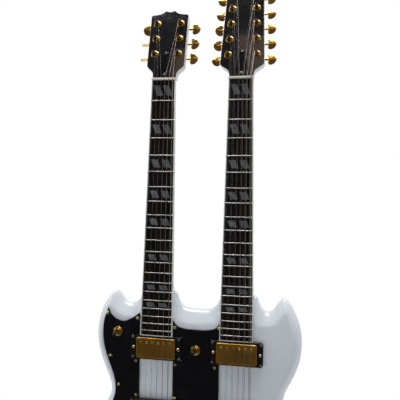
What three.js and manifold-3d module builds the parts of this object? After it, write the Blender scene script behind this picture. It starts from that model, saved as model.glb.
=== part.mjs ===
// Double-neck electric guitar: six strings on the left neck, twelve on the right, seen from the front.
// Millimetres. +Z runs up along the necks, -Y is the front and +X is the right side seen from the front.
// The origin is the outer face of the strap button at the bottom end of the body.

import * as THREE from 'three';
import { mergeVertices } from 'three/addons/utils/BufferGeometryUtils.js';
import Module from 'manifold-3d';

const { degToRad } = THREE.MathUtils;

// Whole instrument
const SCALE_LENGTH = 628.6;
const NECK_SPACING = 140;
const NECK_TILT = degToRad(2.5);
const NECK_TOE = degToRad(0.25);
const HEAD_TILT = degToRad(13);
const CLEARANCE = 0.3;
const OVERRUN = 6;

// Body: the outline is that of the rim, and the face lies inside it by the bevel
const BODY_WIDTH = 406;
const HORNS_PAST_LAST_FRET = 64;
const BODY_THICKNESS = 38;
const BEVEL_WIDTH = 12;
const BEVEL_DEPTH = 12;
// A narrow horn's bevel is limited by this share of the horn's room beside the neck
const HORN_BEVEL_SHARE = 0.127;
const BRIDGE_TO_BOTTOM = 124;
const OUTLINE_STEPS = 2;

// Shoulders of the body beside each neck
const SHOULDER_HALF_WIDTH = 31;
const SHOULDER_FLARE = 7;
const SHOULDER_FALL = 17;
const SHOULDER_SCOOP = 37;
const SHOULDER_DROP = 1;
const SHOULDER_BEVEL_WIDTH = 3;
// Down each flank from the neck: share of the flare, share of the fall
const SHOULDER_SHARES = [[0, 0], [0.25, 0.33], [1, 1]];

// Necks and fretboards, measured in the plane of the strings
const NUT_WIDTH = 41.5;
const BOARD_END_WIDTH = 57;
const BOARD_PAST_LAST_FRET = 9.4;
const BOARD_THICKNESS = 6;
const BOARD_RADIUS = 305;
const STRING_TO_BOARD = 2.6;
const NUT_THICKNESS = 4.5;
const NUT_ABOVE_STRINGS = 0.4;
const FRET_COUNT = 20;
const FRET_WIDTH = 2.2;
const FRET_HEIGHT = 1.1;
const FRET_TANG = 1;
const FRET_INSET = 0.5;
const CROWN_STEPS = 2;
const SHAFT_DEPTH_AT_NUT = 14.5;
const SHAFT_SQUARENESS = 2.3;
const VOLUTE_SQUARENESS = 2.6;
const SHAFT_DEPTH_AT_HEEL = 17.5;
const HEEL_DEPTH = 25;
const HEEL_PAST_BOARD_END = 74;
const HEEL_CURVE = 42;
const TENON_WIDTH = 52;
const TENON_DEPTH = 23;
const TENON_ROOT = 2;
const VOLUTE_LENGTH = 17;
const TRUSS_ROD_WIDTH = 6;
const TRUSS_ROD_DEPTH = 9;
const TRUSS_ROD_TO_BOARD_END = 30.5;
const TRUSS_NUT_RADIUS = 4;
const TRUSS_NUT_LENGTH = 9;
const TRUSS_THREAD_RADIUS = 2;
const TRUSS_POCKET_WIDTH = 13;
const TRUSS_POCKET_LENGTH = 26;

// Headstocks
const HEAD_THICKNESS = 15;
const HEAD_FACE_STEP = 2;
const HEAD_FLARE_LENGTH = 24;
const HEAD_TOP_MARGIN = 26;
const HEAD_TOP_RISE = 8;
const HEAD_6_FLARE_HALF = 33.4;
const HEAD_6_TOP_HALF = 34;
const HEAD_12_FLARE_HALF = 38;
const HEAD_12_TOP_HALF = 30.5;
const COVER_WIDTH = 25;
const COVER_LENGTH = 46;
const COVER_THICKNESS = 1.8;
const COVER_START = 3;
const COVER_NECK_HALF = 6;
const COVER_BELL_RISE = 11;
const COVER_SHOULDER = 34;

// Tuning machines
const TUNER_6_FIRST_ROW = 45.5;
const TUNER_12_FIRST_ROW = 40.3;
const TUNER_PITCH = 29.1;
const TUNER_EDGE_MARGIN = 12.7;
const POST_RADIUS = 3;
const POST_HEIGHT = 11;
const BUSHING_RADIUS = 4.5;
const WASHER_RADIUS = 7;
const WASHER_THICKNESS = 1;
const HEX_RADIUS = 5.6;
const HEX_HEIGHT = 2.4;
const STRIP_WIDTH = 11;
const STRIP_THICKNESS = 1.2;
const HOUSING_WIDTH = 13;
const HOUSING_LENGTH = 15;
const HOUSING_DEPTH = 10;
const SHAFT_RADIUS = 2;
const SHAFT_ENGAGEMENT = 7;
const BUTTON_REACH = 17;
const BUTTON_WIDTH = 14.8;
const BUTTON_HEIGHT = 20.5;
const BUTTON_THICKNESS = 5.4;
const BUTTON_CHAMFER = 1.2;
const BUTTON_SHOULDER = 3.7;
const BUTTON_DENT = 1.2;
const BUTTON_HORN_SHARE = 0.6;

// Strings
const COURSE_COUNT = 6;
const NUT_STRING_SPREAD = 34;
const BRIDGE_STRING_SPREAD = 52;
const PAIR_GAP_AT_NUT = 1.9;
const PAIR_GAP_AT_BRIDGE = 2.4;
const THINNEST_STRING_RADIUS = 0.3;
const THICKEST_STRING_RADIUS = 0.6;
const STRING_HEIGHT_AT_POST = 5.6;

// Pickups and their rings
const PICKUP_WIDTH = 68.5;
const PICKUP_LENGTH = 35;
const PICKUP_DEPTH = 19;
const PICKUP_CORNER = 3;
const PICKUP_CHAMFER = 1.2;
const PICKUP_TO_STRINGS = 3.6;
const PICKUP_PROUD = 3;
const PICKUP_EARS = 82;
const EAR_LENGTH = 12;
const EAR_THICKNESS = 2;
const RING_WIDTH = 89;
const RING_LENGTH = 41;
const RING_CORNER = 4;
const RING_CHAMFER = 0.8;
const RING_GAP = 0.5;
const NECK_PICKUP_TO_BOARD = 21.5;
const BRIDGE_PICKUP_TO_BRIDGE = 57;
const ROUT_MARGIN = 2;
const ROUT_FLOOR = 12;

// Bridges and tailpieces
const BRIDGE_STRING_HEIGHT = 19.7;
const BRIDGE_WIDTH = 92;
const BRIDGE_BAR_DEPTH = 11;
const BRIDGE_BAR_THICKNESS = 7;
const BRIDGE_BAR_CORNER = 3.6;
const BRIDGE_POST_SPACING = 74;
const BRIDGE_POST_RADIUS = 2.5;
const THUMBWHEEL_RADIUS = 6.5;
const THUMBWHEEL_THICKNESS = 3;
const SADDLE_WIDTH = 7;
const SADDLE_LENGTH = 6;
const SADDLE_HEIGHT = 3;
const TAIL_DROP = 48;
const TAIL_WIDTH = 102;
const TAIL_DEPTH = 14;
const TAIL_THICKNESS = 10;
const TAIL_HEIGHT = 6;
const TAIL_CHAMFER = 2.5;
const TAIL_CORNER = 4.6;
const TAIL_STUD_SPACING = 82;
const TAIL_STUD_RADIUS = 5;
const TAIL_STUD_HEAD_RADIUS = 6.2;
const STUD_DEPTH = 18;

// Pickguards
const GUARD_THICKNESS = 2.5;
const GUARD_CHAMFER = 0.8;
const GUARD_TO_BOARD = 1.2;

// Toggle switches
// Places on the body: share of its width, share of its length
const TOGGLE_PLACE_SHARES = { left: [-0.3411, 0.8187], centre: [0, 0.7565] };
const TOGGLE_NUT_RADIUS = 8.5;
const TOGGLE_NUT_HEIGHT = 3.5;
const TOGGLE_BUSHING_RADIUS = 5.8;
const TOGGLE_BUSHING_HEIGHT = 3;
const TOGGLE_BORE_RADIUS = 4;
const TOGGLE_FRAME_WIDTH = 14;
const TOGGLE_FRAME_LENGTH = 26;
const TOGGLE_FRAME_DEPTH = 26;
const TOGGLE_ROUT_MARGIN = 4;
const LEVER_RADIUS = 1.5;
const LEVER_BALL_RADIUS = 3;
const LEVER_LENGTH = 27;
const LEVER_TIP_RADIUS = 3;
const LEVER_TIP_LENGTH = 10;
const LEVER_TIP_ROUNDING = 1.5;
const LEVER_TIP_END_SHARE = 0.7;
const LEVER_TIP_FOOT_SHARE = 0.75;

// Controls
const KNOB_TO_TAIL = 2.3;
const KNOB_OUTER_SHARE = 0.448;
const KNOB_TOP_RISE = 12;
const KNOB_STAGGER = 22;
const KNOB_PITCH = 46;
const KNOB_RADIUS = 12.7;
const KNOB_TOP_RADIUS = 8.6;
const KNOB_SKIRT = 3;
const KNOB_HEIGHT = 16;
const POT_RADIUS = 11.5;
const POT_DEPTH = 10;
const POT_BUSHING_RADIUS = 4.4;
const POT_SHAFT_RADIUS = 3;
const POT_SHAFT_DEPTH = 9;
const POT_NUT_RADIUS = 7;
const POT_NUT_THICKNESS = 2;
const CONTROL_PLATE_THICKNESS = 1.5;
const CAVITY_WALL_GAP = 3;
const CAVITY_TOP_WOOD = 7;
const COVER_LEDGE = 4;
const CAVITY_COVER_THICKNESS = 2;

// Output jack
const JACK_DROP = 78;
const JACK_PLATE_WIDTH = 34;
const JACK_PLATE_LENGTH = 26;
const JACK_PLATE_THICKNESS = 1.6;
const JACK_PLATE_CORNER = 5;
const JACK_NUT_RADIUS = 7;
const JACK_NUT_HEIGHT = 2.2;
const JACK_BUSHING_RADIUS = 4.8;
const JACK_BORE_RADIUS = 3.3;
const JACK_BORE_DEPTH = 20;
const JACK_BODY_RADIUS = 8;
const JACK_BODY_DEPTH = 17;

// Strap buttons
const STRAP_BUTTON_LENGTH = 13;
const STRAP_FLANGE_RADIUS = 7.5;
const STRAP_FLANGE_THICKNESS = 2.5;
const STRAP_WAIST_RADIUS = 4.2;
const STRAP_BASE_RADIUS = 6.5;
const STRAP_BASE_THICKNESS = 2;
const STRAP_TAPER = 1.5;
const STRAP_SCREW_RADIUS = 2;
const STRAP_SCREW_LENGTH = 20;
const STRAP_BACK_SHARE = 0.852;

const ROUND_SIDES = 12;
const SMALL_SIDES = 8;
const KNOB_SIDES = 16;
const HEX_SIDES = 6;
const CORNER_STEPS = 2;
const SECTION_STEPS = 10;
const STRING_SIDES = 4;

// Places that follow from the sizes above
const BODY_BOTTOM = STRAP_BUTTON_LENGTH + CLEARANCE;
const BRIDGE_Z = BODY_BOTTOM + BRIDGE_TO_BOTTOM;
const LAST_FRET = SCALE_LENGTH * 2 ** (-FRET_COUNT / 12);
const BOARD_END = LAST_FRET - BOARD_PAST_LAST_FRET;
const BODY_LENGTH = BRIDGE_TO_BOTTOM + LAST_FRET + HORNS_PAST_LAST_FRET;
const HEEL_FROM_BRIDGE = BOARD_END + HEEL_PAST_BOARD_END;
const BOARD_BOTTOM = STRING_TO_BOARD + BOARD_THICKNESS;
const SHAFT_TOP = BOARD_BOTTOM + CLEARANCE;
const HEEL_Z = BRIDGE_Z + HEEL_FROM_BRIDGE * Math.cos(NECK_TILT);
const NUT_FAR = SCALE_LENGTH + NUT_THICKNESS;
const TRUSS_ROD_START = BOARD_END + TRUSS_ROD_TO_BOARD_END;
const TRUSS_ROD_MIDDLE = SHAFT_TOP + CLEARANCE + TRUSS_ROD_DEPTH / 2;
const STRIP_BACK = HEAD_THICKNESS + CLEARANCE + STRIP_THICKNESS;
const SHAFT_Y = HEAD_THICKNESS + CLEARANCE + HOUSING_DEPTH / 2;
const STRIP_HALF_WIDTH = BOARD_END_WIDTH / 2 + GUARD_TO_BOARD;
const NECK_PICKUP_Z = BRIDGE_Z + BOARD_END - NECK_PICKUP_TO_BOARD;
const BRIDGE_PICKUP_Z = BRIDGE_Z + BRIDGE_PICKUP_TO_BRIDGE;
const TAIL_Z = BRIDGE_Z - TAIL_DROP;
const TAIL_TOP_EDGE = TAIL_Z + TAIL_DEPTH / 2;
const TAIL_MIDDLE = -(TAIL_HEIGHT + TAIL_THICKNESS / 2);
const GUARD_FRONT = -(CLEARANCE + GUARD_THICKNESS);
const SHOULDER_OUT = SHOULDER_HALF_WIDTH + SHOULDER_FLARE;
const HORN_START = NECK_SPACING / 2 + SHOULDER_OUT;
const HORN_ROOM = BODY_WIDTH / 2 - HORN_START;
const HORN_BEVEL_WIDTH = Math.min(BEVEL_WIDTH, HORN_BEVEL_SHARE * HORN_ROOM);
const KNOB_INNER_X = -(NECK_SPACING / 2 + TAIL_WIDTH / 2 + KNOB_TO_TAIL + KNOB_RADIUS);
const KNOB_OUTER_X = THREE.MathUtils.lerp(KNOB_INNER_X, -BODY_WIDTH / 2, KNOB_OUTER_SHARE);
const STRAP_BACK_Z = BODY_BOTTOM + STRAP_BACK_SHARE * BODY_LENGTH;

const SIX = {
  label: '6',
  x: -NECK_SPACING / 2,
  rows: 3,
  paired: false,
  firstRow: TUNER_6_FIRST_ROW,
  flareHalf: HEAD_6_FLARE_HALF,
  topHalf: HEAD_6_TOP_HALF,
};
const TWELVE = {
  label: '12',
  x: NECK_SPACING / 2,
  rows: 6,
  paired: true,
  firstRow: TUNER_12_FIRST_ROW,
  flareHalf: HEAD_12_FLARE_HALF,
  topHalf: HEAD_12_TOP_HALF,
};
const NECKS = [SIX, TWELVE];

// Solids

const wasm = await Module();
wasm.setup();

// A closed geometry as a solid that can be joined and cut
function solid(geometry) {
  const bare = geometry.clone();
  bare.deleteAttribute('normal');
  bare.deleteAttribute('uv');
  const merged = mergeVertices(bare);
  const corners = [];
  for (let i = 0; i < merged.index.count; i += 3) {
    const [a, b, c] = [0, 1, 2].map((k) => merged.index.getX(i + k));
    if (a !== b && b !== c && c !== a) corners.push(a, b, c);
  }
  return new wasm.Manifold(new wasm.Mesh({
    numProp: 3,
    vertProperties: merged.attributes.position.array,
    triVerts: new Uint32Array(corners),
  }));
}

function geometryOf(body) {
  const mesh = body.getMesh();
  const geometry = new THREE.BufferGeometry();
  geometry.setAttribute('position', new THREE.BufferAttribute(mesh.vertProperties, 3));
  geometry.setIndex(new THREE.BufferAttribute(mesh.triVerts, 1));
  geometry.computeVertexNormals();
  return geometry;
}

function join(...geometries) {
  const [first, ...others] = geometries.map(solid);
  return geometryOf(others.reduce((sum, other) => sum.add(other), first));
}

function cut(geometry, ...tools) {
  return geometryOf(tools.map(solid).reduce((rest, tool) => rest.subtract(tool), solid(geometry)));
}

// Faces turned out, whichever way the rings or the profile ran
function facingOut(geometry) {
  const { position } = geometry.attributes;
  const corner = [0, 1, 2].map(() => new THREE.Vector3());
  let volume = 0;
  for (let i = 0; i < geometry.index.count; i += 3) {
    corner.forEach((point, k) => point.fromBufferAttribute(position, geometry.index.getX(i + k)));
    volume += corner[0].dot(corner[1].clone().cross(corner[2]));
  }
  if (volume < 0) {
    for (let i = 0; i < geometry.index.count; i += 3) {
      const second = geometry.index.getX(i + 1);
      geometry.index.setX(i + 1, geometry.index.getX(i + 2));
      geometry.index.setX(i + 2, second);
    }
  }
  return geometry;
}

// A closed skin through rings of equally many points, with flat ends seen through `flatten`
function loft(rings, flatten) {
  const count = rings[0].length;
  const geometry = new THREE.BufferGeometry().setFromPoints(rings.flat());
  const triangles = [];
  for (let ring = 0; ring + 1 < rings.length; ring += 1) {
    for (let k = 0; k < count; k += 1) {
      const a = ring * count + k;
      const b = ring * count + ((k + 1) % count);
      triangles.push(a, b, b + count, a, b + count, a + count);
    }
  }
  const flat = rings[0].map(flatten);
  const turned = THREE.ShapeUtils.isClockWise(flat);
  const last = (rings.length - 1) * count;
  const lastFlat = rings[rings.length - 1].map(flatten);
  for (const [a, b, c] of THREE.ShapeUtils.triangulateShape(flat, [])) {
    triangles.push(...(turned ? [a, b, c] : [c, b, a]));
  }
  for (const [a, b, c] of THREE.ShapeUtils.triangulateShape(lastFlat, [])) {
    triangles.push(...(turned ? [last + c, last + b, last + a] : [last + a, last + b, last + c]));
  }
  geometry.setIndex(triangles);
  return facingOut(geometry);
}

function box(width, depth, height, x = 0, y = 0, z = 0) {
  return new THREE.BoxGeometry(width, depth, height).translate(x, y, z);
}

// A round bar along one axis, between two places on that axis
function bar(axis, radius, from, to, sides = ROUND_SIDES) {
  const geometry = new THREE.CylinderGeometry(radius, radius, to - from, sides);
  geometry.translate(0, (from + to) / 2, 0);
  if (axis === 'x') geometry.rotateZ(-Math.PI / 2);
  if (axis === 'z') geometry.rotateX(Math.PI / 2);
  return geometry;
}

// A round cutter whose flats, not its corners, lie at the radius
function hole(axis, radius, from, to, sides = SMALL_SIDES) {
  return bar(axis, radius / Math.cos(Math.PI / sides), from, to, sides);
}

// A turned piece about the Y axis, from a profile of [radius, y] that starts and ends on the axis
function turned(profile, sides = ROUND_SIDES) {
  const points = profile.map(([radius, y]) => new THREE.Vector2(radius, y));
  return facingOut(mergeVertices(new THREE.LatheGeometry(points, sides).deleteAttribute('normal')
    .deleteAttribute('uv')));
}

// A flat piece: the shape's height is along +Z, its back on y = 0 and its front towards -Y
function plate(shape, thickness, chamfer = 0) {
  const geometry = new THREE.ExtrudeGeometry(shape, {
    depth: thickness - 2 * chamfer,
    bevelEnabled: chamfer > 0,
    bevelThickness: chamfer,
    bevelSize: chamfer,
    bevelOffset: -chamfer,
    bevelSegments: 1,
    curveSegments: 2,
  });
  return geometry.translate(0, 0, chamfer).rotateX(Math.PI / 2);
}

function roundedRectangle(width, height, corner) {
  const points = [];
  for (const [quarter, sideX, sideZ] of [[0, 1, 1], [1, -1, 1], [2, -1, -1], [3, 1, -1]]) {
    const middle = new THREE.Vector2(sideX * (width / 2 - corner), sideZ * (height / 2 - corner));
    for (let k = 0; k <= CORNER_STEPS; k += 1) {
      const angle = ((quarter + k / CORNER_STEPS) * Math.PI) / 2;
      points.push(new THREE.Vector2(corner * Math.cos(angle), corner * Math.sin(angle)).add(middle));
    }
  }
  return new THREE.Shape(points);
}

// The shape of a band pulled tight round circles of one radius
function hullShape(centres, radius) {
  const points = [];
  for (const centre of centres) {
    for (let k = 0; k < ROUND_SIDES; k += 1) {
      const angle = (2 * Math.PI * k) / ROUND_SIDES;
      points.push(new THREE.Vector2(radius * Math.cos(angle), radius * Math.sin(angle)).add(centre));
    }
  }
  points.sort((a, b) => a.x - b.x || a.y - b.y);
  const half = (ordered) => {
    const chain = [];
    for (const point of ordered) {
      while (chain.length > 1) {
        const [before, top] = chain.slice(-2);
        if (top.clone().sub(before).cross(point.clone().sub(top)) > 0) break;
        chain.pop();
      }
      chain.push(point);
    }
    return chain.slice(0, -1);
  };
  return new THREE.Shape([...half(points), ...half([...points].reverse())]);
}

// Body

// Rows of shares: rim x of the body's width, rim z of its length from the bottom,
// then the way from the rim to the face, x and z, in bevel widths. In a horn's rows
// the rim x is a share of the room from the shoulder to the body's widest point
const RIGHT_SIDE_SHARES = [
  [0, 0, 0, 1], [0.185, 0.003, -0.1, 1], [0.32, 0.021, -0.3, 0.95], [0.419, 0.065, -0.7, 0.7],
  [0.48, 0.132, -0.95, 0.3], [0.5, 0.215, -1, 0], [0.483, 0.295, -0.95, -0.3],
  [0.438, 0.365, -0.85, -0.5], [0.387, 0.435, -0.9, -0.4], [0.362, 0.508, -1, 0],
  [0.369, 0.575, -1, 0.3], [0.399, 0.642, -1, 0.4], [0.426, 0.715, -1, 0.2], [0.436, 0.793, -1, 0],
];
const RIGHT_HORN_SHARES = [
  [0.697, 0.87, -1.1, -0.2], [0.611, 0.93, -0.92, -0.75], [0.504, 0.977, -0.38, -1.35],
  [0.402, 1, 0.25, -1.83], [0.303, 0.979, 0.58, -1.83], [0.222, 0.948, 0.35, -1.8],
  [0.115, 0.935, 0.1, -1.7],
];
const LEFT_HORN_SHARES = [
  [0.115, 0.943, 0, -1.75], [0.209, 0.948, -0.2, -1.8], [0.295, 0.966, -0.5, -2],
  [0.359, 0.987, -0.8, -2], [0.432, 1, -0.7, -2.1], [0.538, 0.977, 0.1, -1.5],
  [0.654, 0.935, 0.8, -0.9], [0.735, 0.886, 1, -0.4],
];
const LEFT_SIDE_SHARES = [
  [-0.451, 0.806, 1, 0], [-0.446, 0.741, 1, 0.1],
  [-0.429, 0.674, 1, 0.4], [-0.406, 0.617, 1, 0.3], [-0.387, 0.565, 1, 0.1], [-0.387, 0.523, 1, -0.1],
  [-0.409, 0.472, 0.9, -0.4], [-0.448, 0.399, 0.85, -0.5], [-0.483, 0.316, 0.95, -0.3],
  [-0.5, 0.228, 1, 0], [-0.488, 0.14, 0.95, 0.3], [-0.433, 0.065, 0.7, 0.7],
  [-0.333, 0.021, 0.3, 0.95], [-0.192, 0.003, 0.1, 1],
];
// Between the necks: x of half the gap between the shoulders, z of the body's length
const MIDDLE_CUTAWAY_SHARES = [[0.744, 0.937, 0, -1.9], [0, 0.93, 0, -1.9], [-0.744, 0.937, 0, -1.9]];

const alongBody = (share) => BODY_BOTTOM + share * BODY_LENGTH;

function outlineRow([xShare, zShare, faceXShare, faceZShare], width, start = 0, bevel = BEVEL_WIDTH) {
  const rim = new THREE.Vector2(start + xShare * width, alongBody(zShare));
  const face = new THREE.Vector2(faceXShare, faceZShare).multiplyScalar(bevel).add(rim);
  return { rim, face };
}

// The body rises beside each neck to its heel, in a shoulder that is scooped out in front
function shoulderRows(neckX) {
  const flank = SHOULDER_SHARES.map(([flareShare, fallShare]) => (
    [SHOULDER_HALF_WIDTH + SHOULDER_FLARE * flareShare, SHOULDER_FALL * fallShare]
  ));
  const row = (side, [out, fall]) => ({
    rim: new THREE.Vector2(neckX + side * out, HEEL_Z - SHOULDER_DROP - fall),
    face: new THREE.Vector2(
      neckX + side * (out - SHOULDER_BEVEL_WIDTH),
      HEEL_Z - SHOULDER_DROP - SHOULDER_SCOOP - fall / 2,
    ),
  });
  const middle = row(0, [0, -SHOULDER_DROP / 2]);
  const left = flank.map((at) => row(-1, at));
  const right = flank.map((at) => row(1, at));
  return [...right.reverse(), middle, ...left];
}

function bodyRings() {
  const rows = [
    ...RIGHT_SIDE_SHARES.map((shares) => outlineRow(shares, BODY_WIDTH)),
    ...RIGHT_HORN_SHARES.map((shares) => outlineRow(shares, HORN_ROOM, HORN_START, HORN_BEVEL_WIDTH)),
    ...shoulderRows(TWELVE.x),
    ...MIDDLE_CUTAWAY_SHARES.map((shares) => outlineRow(shares, NECK_SPACING / 2 - SHOULDER_OUT)),
    ...shoulderRows(SIX.x),
    ...LEFT_HORN_SHARES.map((shares) => outlineRow(shares, -HORN_ROOM, -HORN_START, HORN_BEVEL_WIDTH)),
    ...LEFT_SIDE_SHARES.map((shares) => outlineRow(shares, BODY_WIDTH)),
  ];
  const samples = rows.length * OUTLINE_STEPS;
  const ring = (edge, y) => {
    const points = rows.map((row) => new THREE.Vector3(row[edge].x, y, row[edge].y));
    const curve = new THREE.CatmullRomCurve3(points, true, 'centripetal');
    return Array.from({ length: samples }, (_, k) => curve.getPoint(k / samples));
  };
  return [
    ring('face', 0),
    ring('rim', BEVEL_DEPTH),
    ring('rim', BODY_THICKNESS - BEVEL_DEPTH),
    ring('face', BODY_THICKNESS),
  ];
}

const knobPlaces = [];
for (const row of [0, 1]) {
  for (const [column, x] of [KNOB_INNER_X, KNOB_OUTER_X].entries()) {
    const z = BRIDGE_Z + KNOB_TOP_RISE - row * KNOB_PITCH - column * KNOB_STAGGER;
    knobPlaces.push(new THREE.Vector2(x, z));
  }
}
const jackPlace = new THREE.Vector2(KNOB_INNER_X, BRIDGE_Z - JACK_DROP);
const togglePlaces = {};
for (const [sideName, [xShare, zShare]] of Object.entries(TOGGLE_PLACE_SHARES)) {
  togglePlaces[sideName] = new THREE.Vector2(xShare * BODY_WIDTH, alongBody(zShare));
}
const pickupPlaces = NECKS.flatMap((neck) => [
  { name: `neck_pickup_${neck.label}`, x: neck.x, z: NECK_PICKUP_Z },
  { name: `bridge_pickup_${neck.label}`, x: neck.x, z: BRIDGE_PICKUP_Z },
]);

// Height of the strings over the body's face at a place along it
function stringHeight(z) {
  return BRIDGE_STRING_HEIGHT - (z - BRIDGE_Z) * Math.tan(NECK_TILT);
}

function cavityShape(margin) {
  return hullShape([...knobPlaces, jackPlace], POT_RADIUS + CAVITY_WALL_GAP + margin);
}

function neckFrame(neck) {
  const frame = new THREE.Group();
  frame.position.set(neck.x, -BRIDGE_STRING_HEIGHT, BRIDGE_Z);
  frame.rotation.set(-NECK_TILT, -Math.sign(neck.x) * NECK_TOE, 0);
  frame.updateMatrix();
  return frame;
}

// A hole or rout from the front, at a place on the face
function frontHole(radius, depth, x, z) {
  return hole('y', radius, -OVERRUN, depth).translate(x, 0, z);
}

function frontRout(width, height, depth, x, z) {
  return box(width, depth + OVERRUN, height, x, (depth - OVERRUN) / 2, z);
}

function bodyGeometry() {
  const tools = [];
  for (const neck of NECKS) {
    const { matrix } = neckFrame(neck);
    const tenonLength = HEEL_FROM_BRIDGE - BOARD_END + 2 * CLEARANCE;
    const mortise = box(
      TENON_WIDTH + 2 * CLEARANCE,
      TENON_DEPTH + CLEARANCE + BRIDGE_STRING_HEIGHT,
      tenonLength,
      0,
      SHAFT_TOP + (TENON_DEPTH + CLEARANCE - BRIDGE_STRING_HEIGHT) / 2,
      BOARD_END - CLEARANCE + tenonLength / 2,
    );
    const heelWidth = 2 * (boardHalfWidth(HEEL_FROM_BRIDGE) + CLEARANCE);
    const heelSpace = box(
      heelWidth, 2 * BODY_THICKNESS, SHOULDER_FALL,
      0, BRIDGE_STRING_HEIGHT, HEEL_FROM_BRIDGE - CLEARANCE + SHOULDER_FALL / 2,
    );
    tools.push(mortise.applyMatrix4(matrix), heelSpace.applyMatrix4(matrix));
    for (const side of [-1, 1]) {
      const bridgeX = neck.x + (side * BRIDGE_POST_SPACING) / 2;
      const tailX = neck.x + (side * TAIL_STUD_SPACING) / 2;
      tools.push(frontHole(BRIDGE_POST_RADIUS + CLEARANCE, STUD_DEPTH + CLEARANCE, bridgeX, BRIDGE_Z));
      tools.push(frontHole(TAIL_STUD_RADIUS + CLEARANCE, STUD_DEPTH + CLEARANCE, tailX, TAIL_Z));
    }
  }
  for (const { x, z } of pickupPlaces) {
    const depth = BODY_THICKNESS - ROUT_FLOOR;
    tools.push(frontRout(PICKUP_WIDTH + ROUT_MARGIN, PICKUP_LENGTH + ROUT_MARGIN, depth, x, z));
    tools.push(frontRout(PICKUP_EARS + ROUT_MARGIN, EAR_LENGTH + ROUT_MARGIN, depth, x, z));
  }
  for (const { x, y: z } of Object.values(togglePlaces)) {
    const width = TOGGLE_FRAME_WIDTH + 2 * TOGGLE_ROUT_MARGIN;
    const length = TOGGLE_FRAME_LENGTH + 2 * TOGGLE_ROUT_MARGIN;
    tools.push(frontRout(width, length, TOGGLE_FRAME_DEPTH + TOGGLE_ROUT_MARGIN, x, z));
  }
  for (const { x, y: z } of knobPlaces) {
    tools.push(frontHole(POT_BUSHING_RADIUS + CLEARANCE, BODY_THICKNESS / 2, x, z));
  }
  tools.push(frontHole(JACK_BUSHING_RADIUS + CLEARANCE, BODY_THICKNESS / 2, jackPlace.x, jackPlace.y));
  const cavityDepth = BODY_THICKNESS - CAVITY_TOP_WOOD;
  tools.push(plate(cavityShape(0), cavityDepth + OVERRUN).translate(0, BODY_THICKNESS + OVERRUN, 0));
  const ledgeDepth = CAVITY_COVER_THICKNESS + CLEARANCE;
  tools.push(plate(cavityShape(COVER_LEDGE), ledgeDepth + OVERRUN)
    .translate(0, BODY_THICKNESS + OVERRUN, 0));
  const screwHole = STRAP_SCREW_RADIUS + CLEARANCE;
  const screwDepth = STRAP_SCREW_LENGTH + CLEARANCE;
  tools.push(hole('z', screwHole, BODY_BOTTOM - OVERRUN, BODY_BOTTOM + screwDepth)
    .translate(0, BODY_THICKNESS / 2, 0));
  tools.push(hole('y', screwHole, BODY_THICKNESS - screwDepth, BODY_THICKNESS + OVERRUN)
    .translate(0, 0, STRAP_BACK_Z));
  return cut(loft(bodyRings(), (point) => new THREE.Vector2(point.x, point.z)), ...tools);
}

// Necks, in the plane of their strings: y = 0 holds the strings, z = 0 is the bridge

function boardHalfWidth(z) {
  const share = (SCALE_LENGTH - z) / (SCALE_LENGTH - BOARD_END);
  return THREE.MathUtils.lerp(NUT_WIDTH, BOARD_END_WIDTH, share) / 2;
}

// The fretboard's top is a slice of a wide cylinder, so it falls off towards the edges
function crownFall(x) {
  return BOARD_RADIUS - Math.sqrt(BOARD_RADIUS ** 2 - x ** 2);
}

const seenAlongNeck = (point) => new THREE.Vector2(point.x, point.y);

// Half round below a flat top; a high power gives square corners
function neckRing(z, halfWidth, top, depth, power) {
  return Array.from({ length: SECTION_STEPS + 1 }, (_, k) => {
    const angle = (Math.PI * k) / SECTION_STEPS;
    const across = Math.sign(Math.cos(angle)) * Math.abs(Math.cos(angle)) ** (2 / power);
    const down = Math.abs(Math.sin(angle)) ** (2 / power);
    return new THREE.Vector3(halfWidth * across, top + depth * down, z);
  });
}

// Stations of the heel: share of the curve's length, share of the extra depth, squareness
const HEEL_SHARES = [
  [1, 0, SHAFT_SQUARENESS], [0.62, 0.07, 2.5], [0.36, 0.28, 3], [0.16, 0.65, 4], [0.05, 0.92, 5], [0, 1, 6],
];

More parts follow.
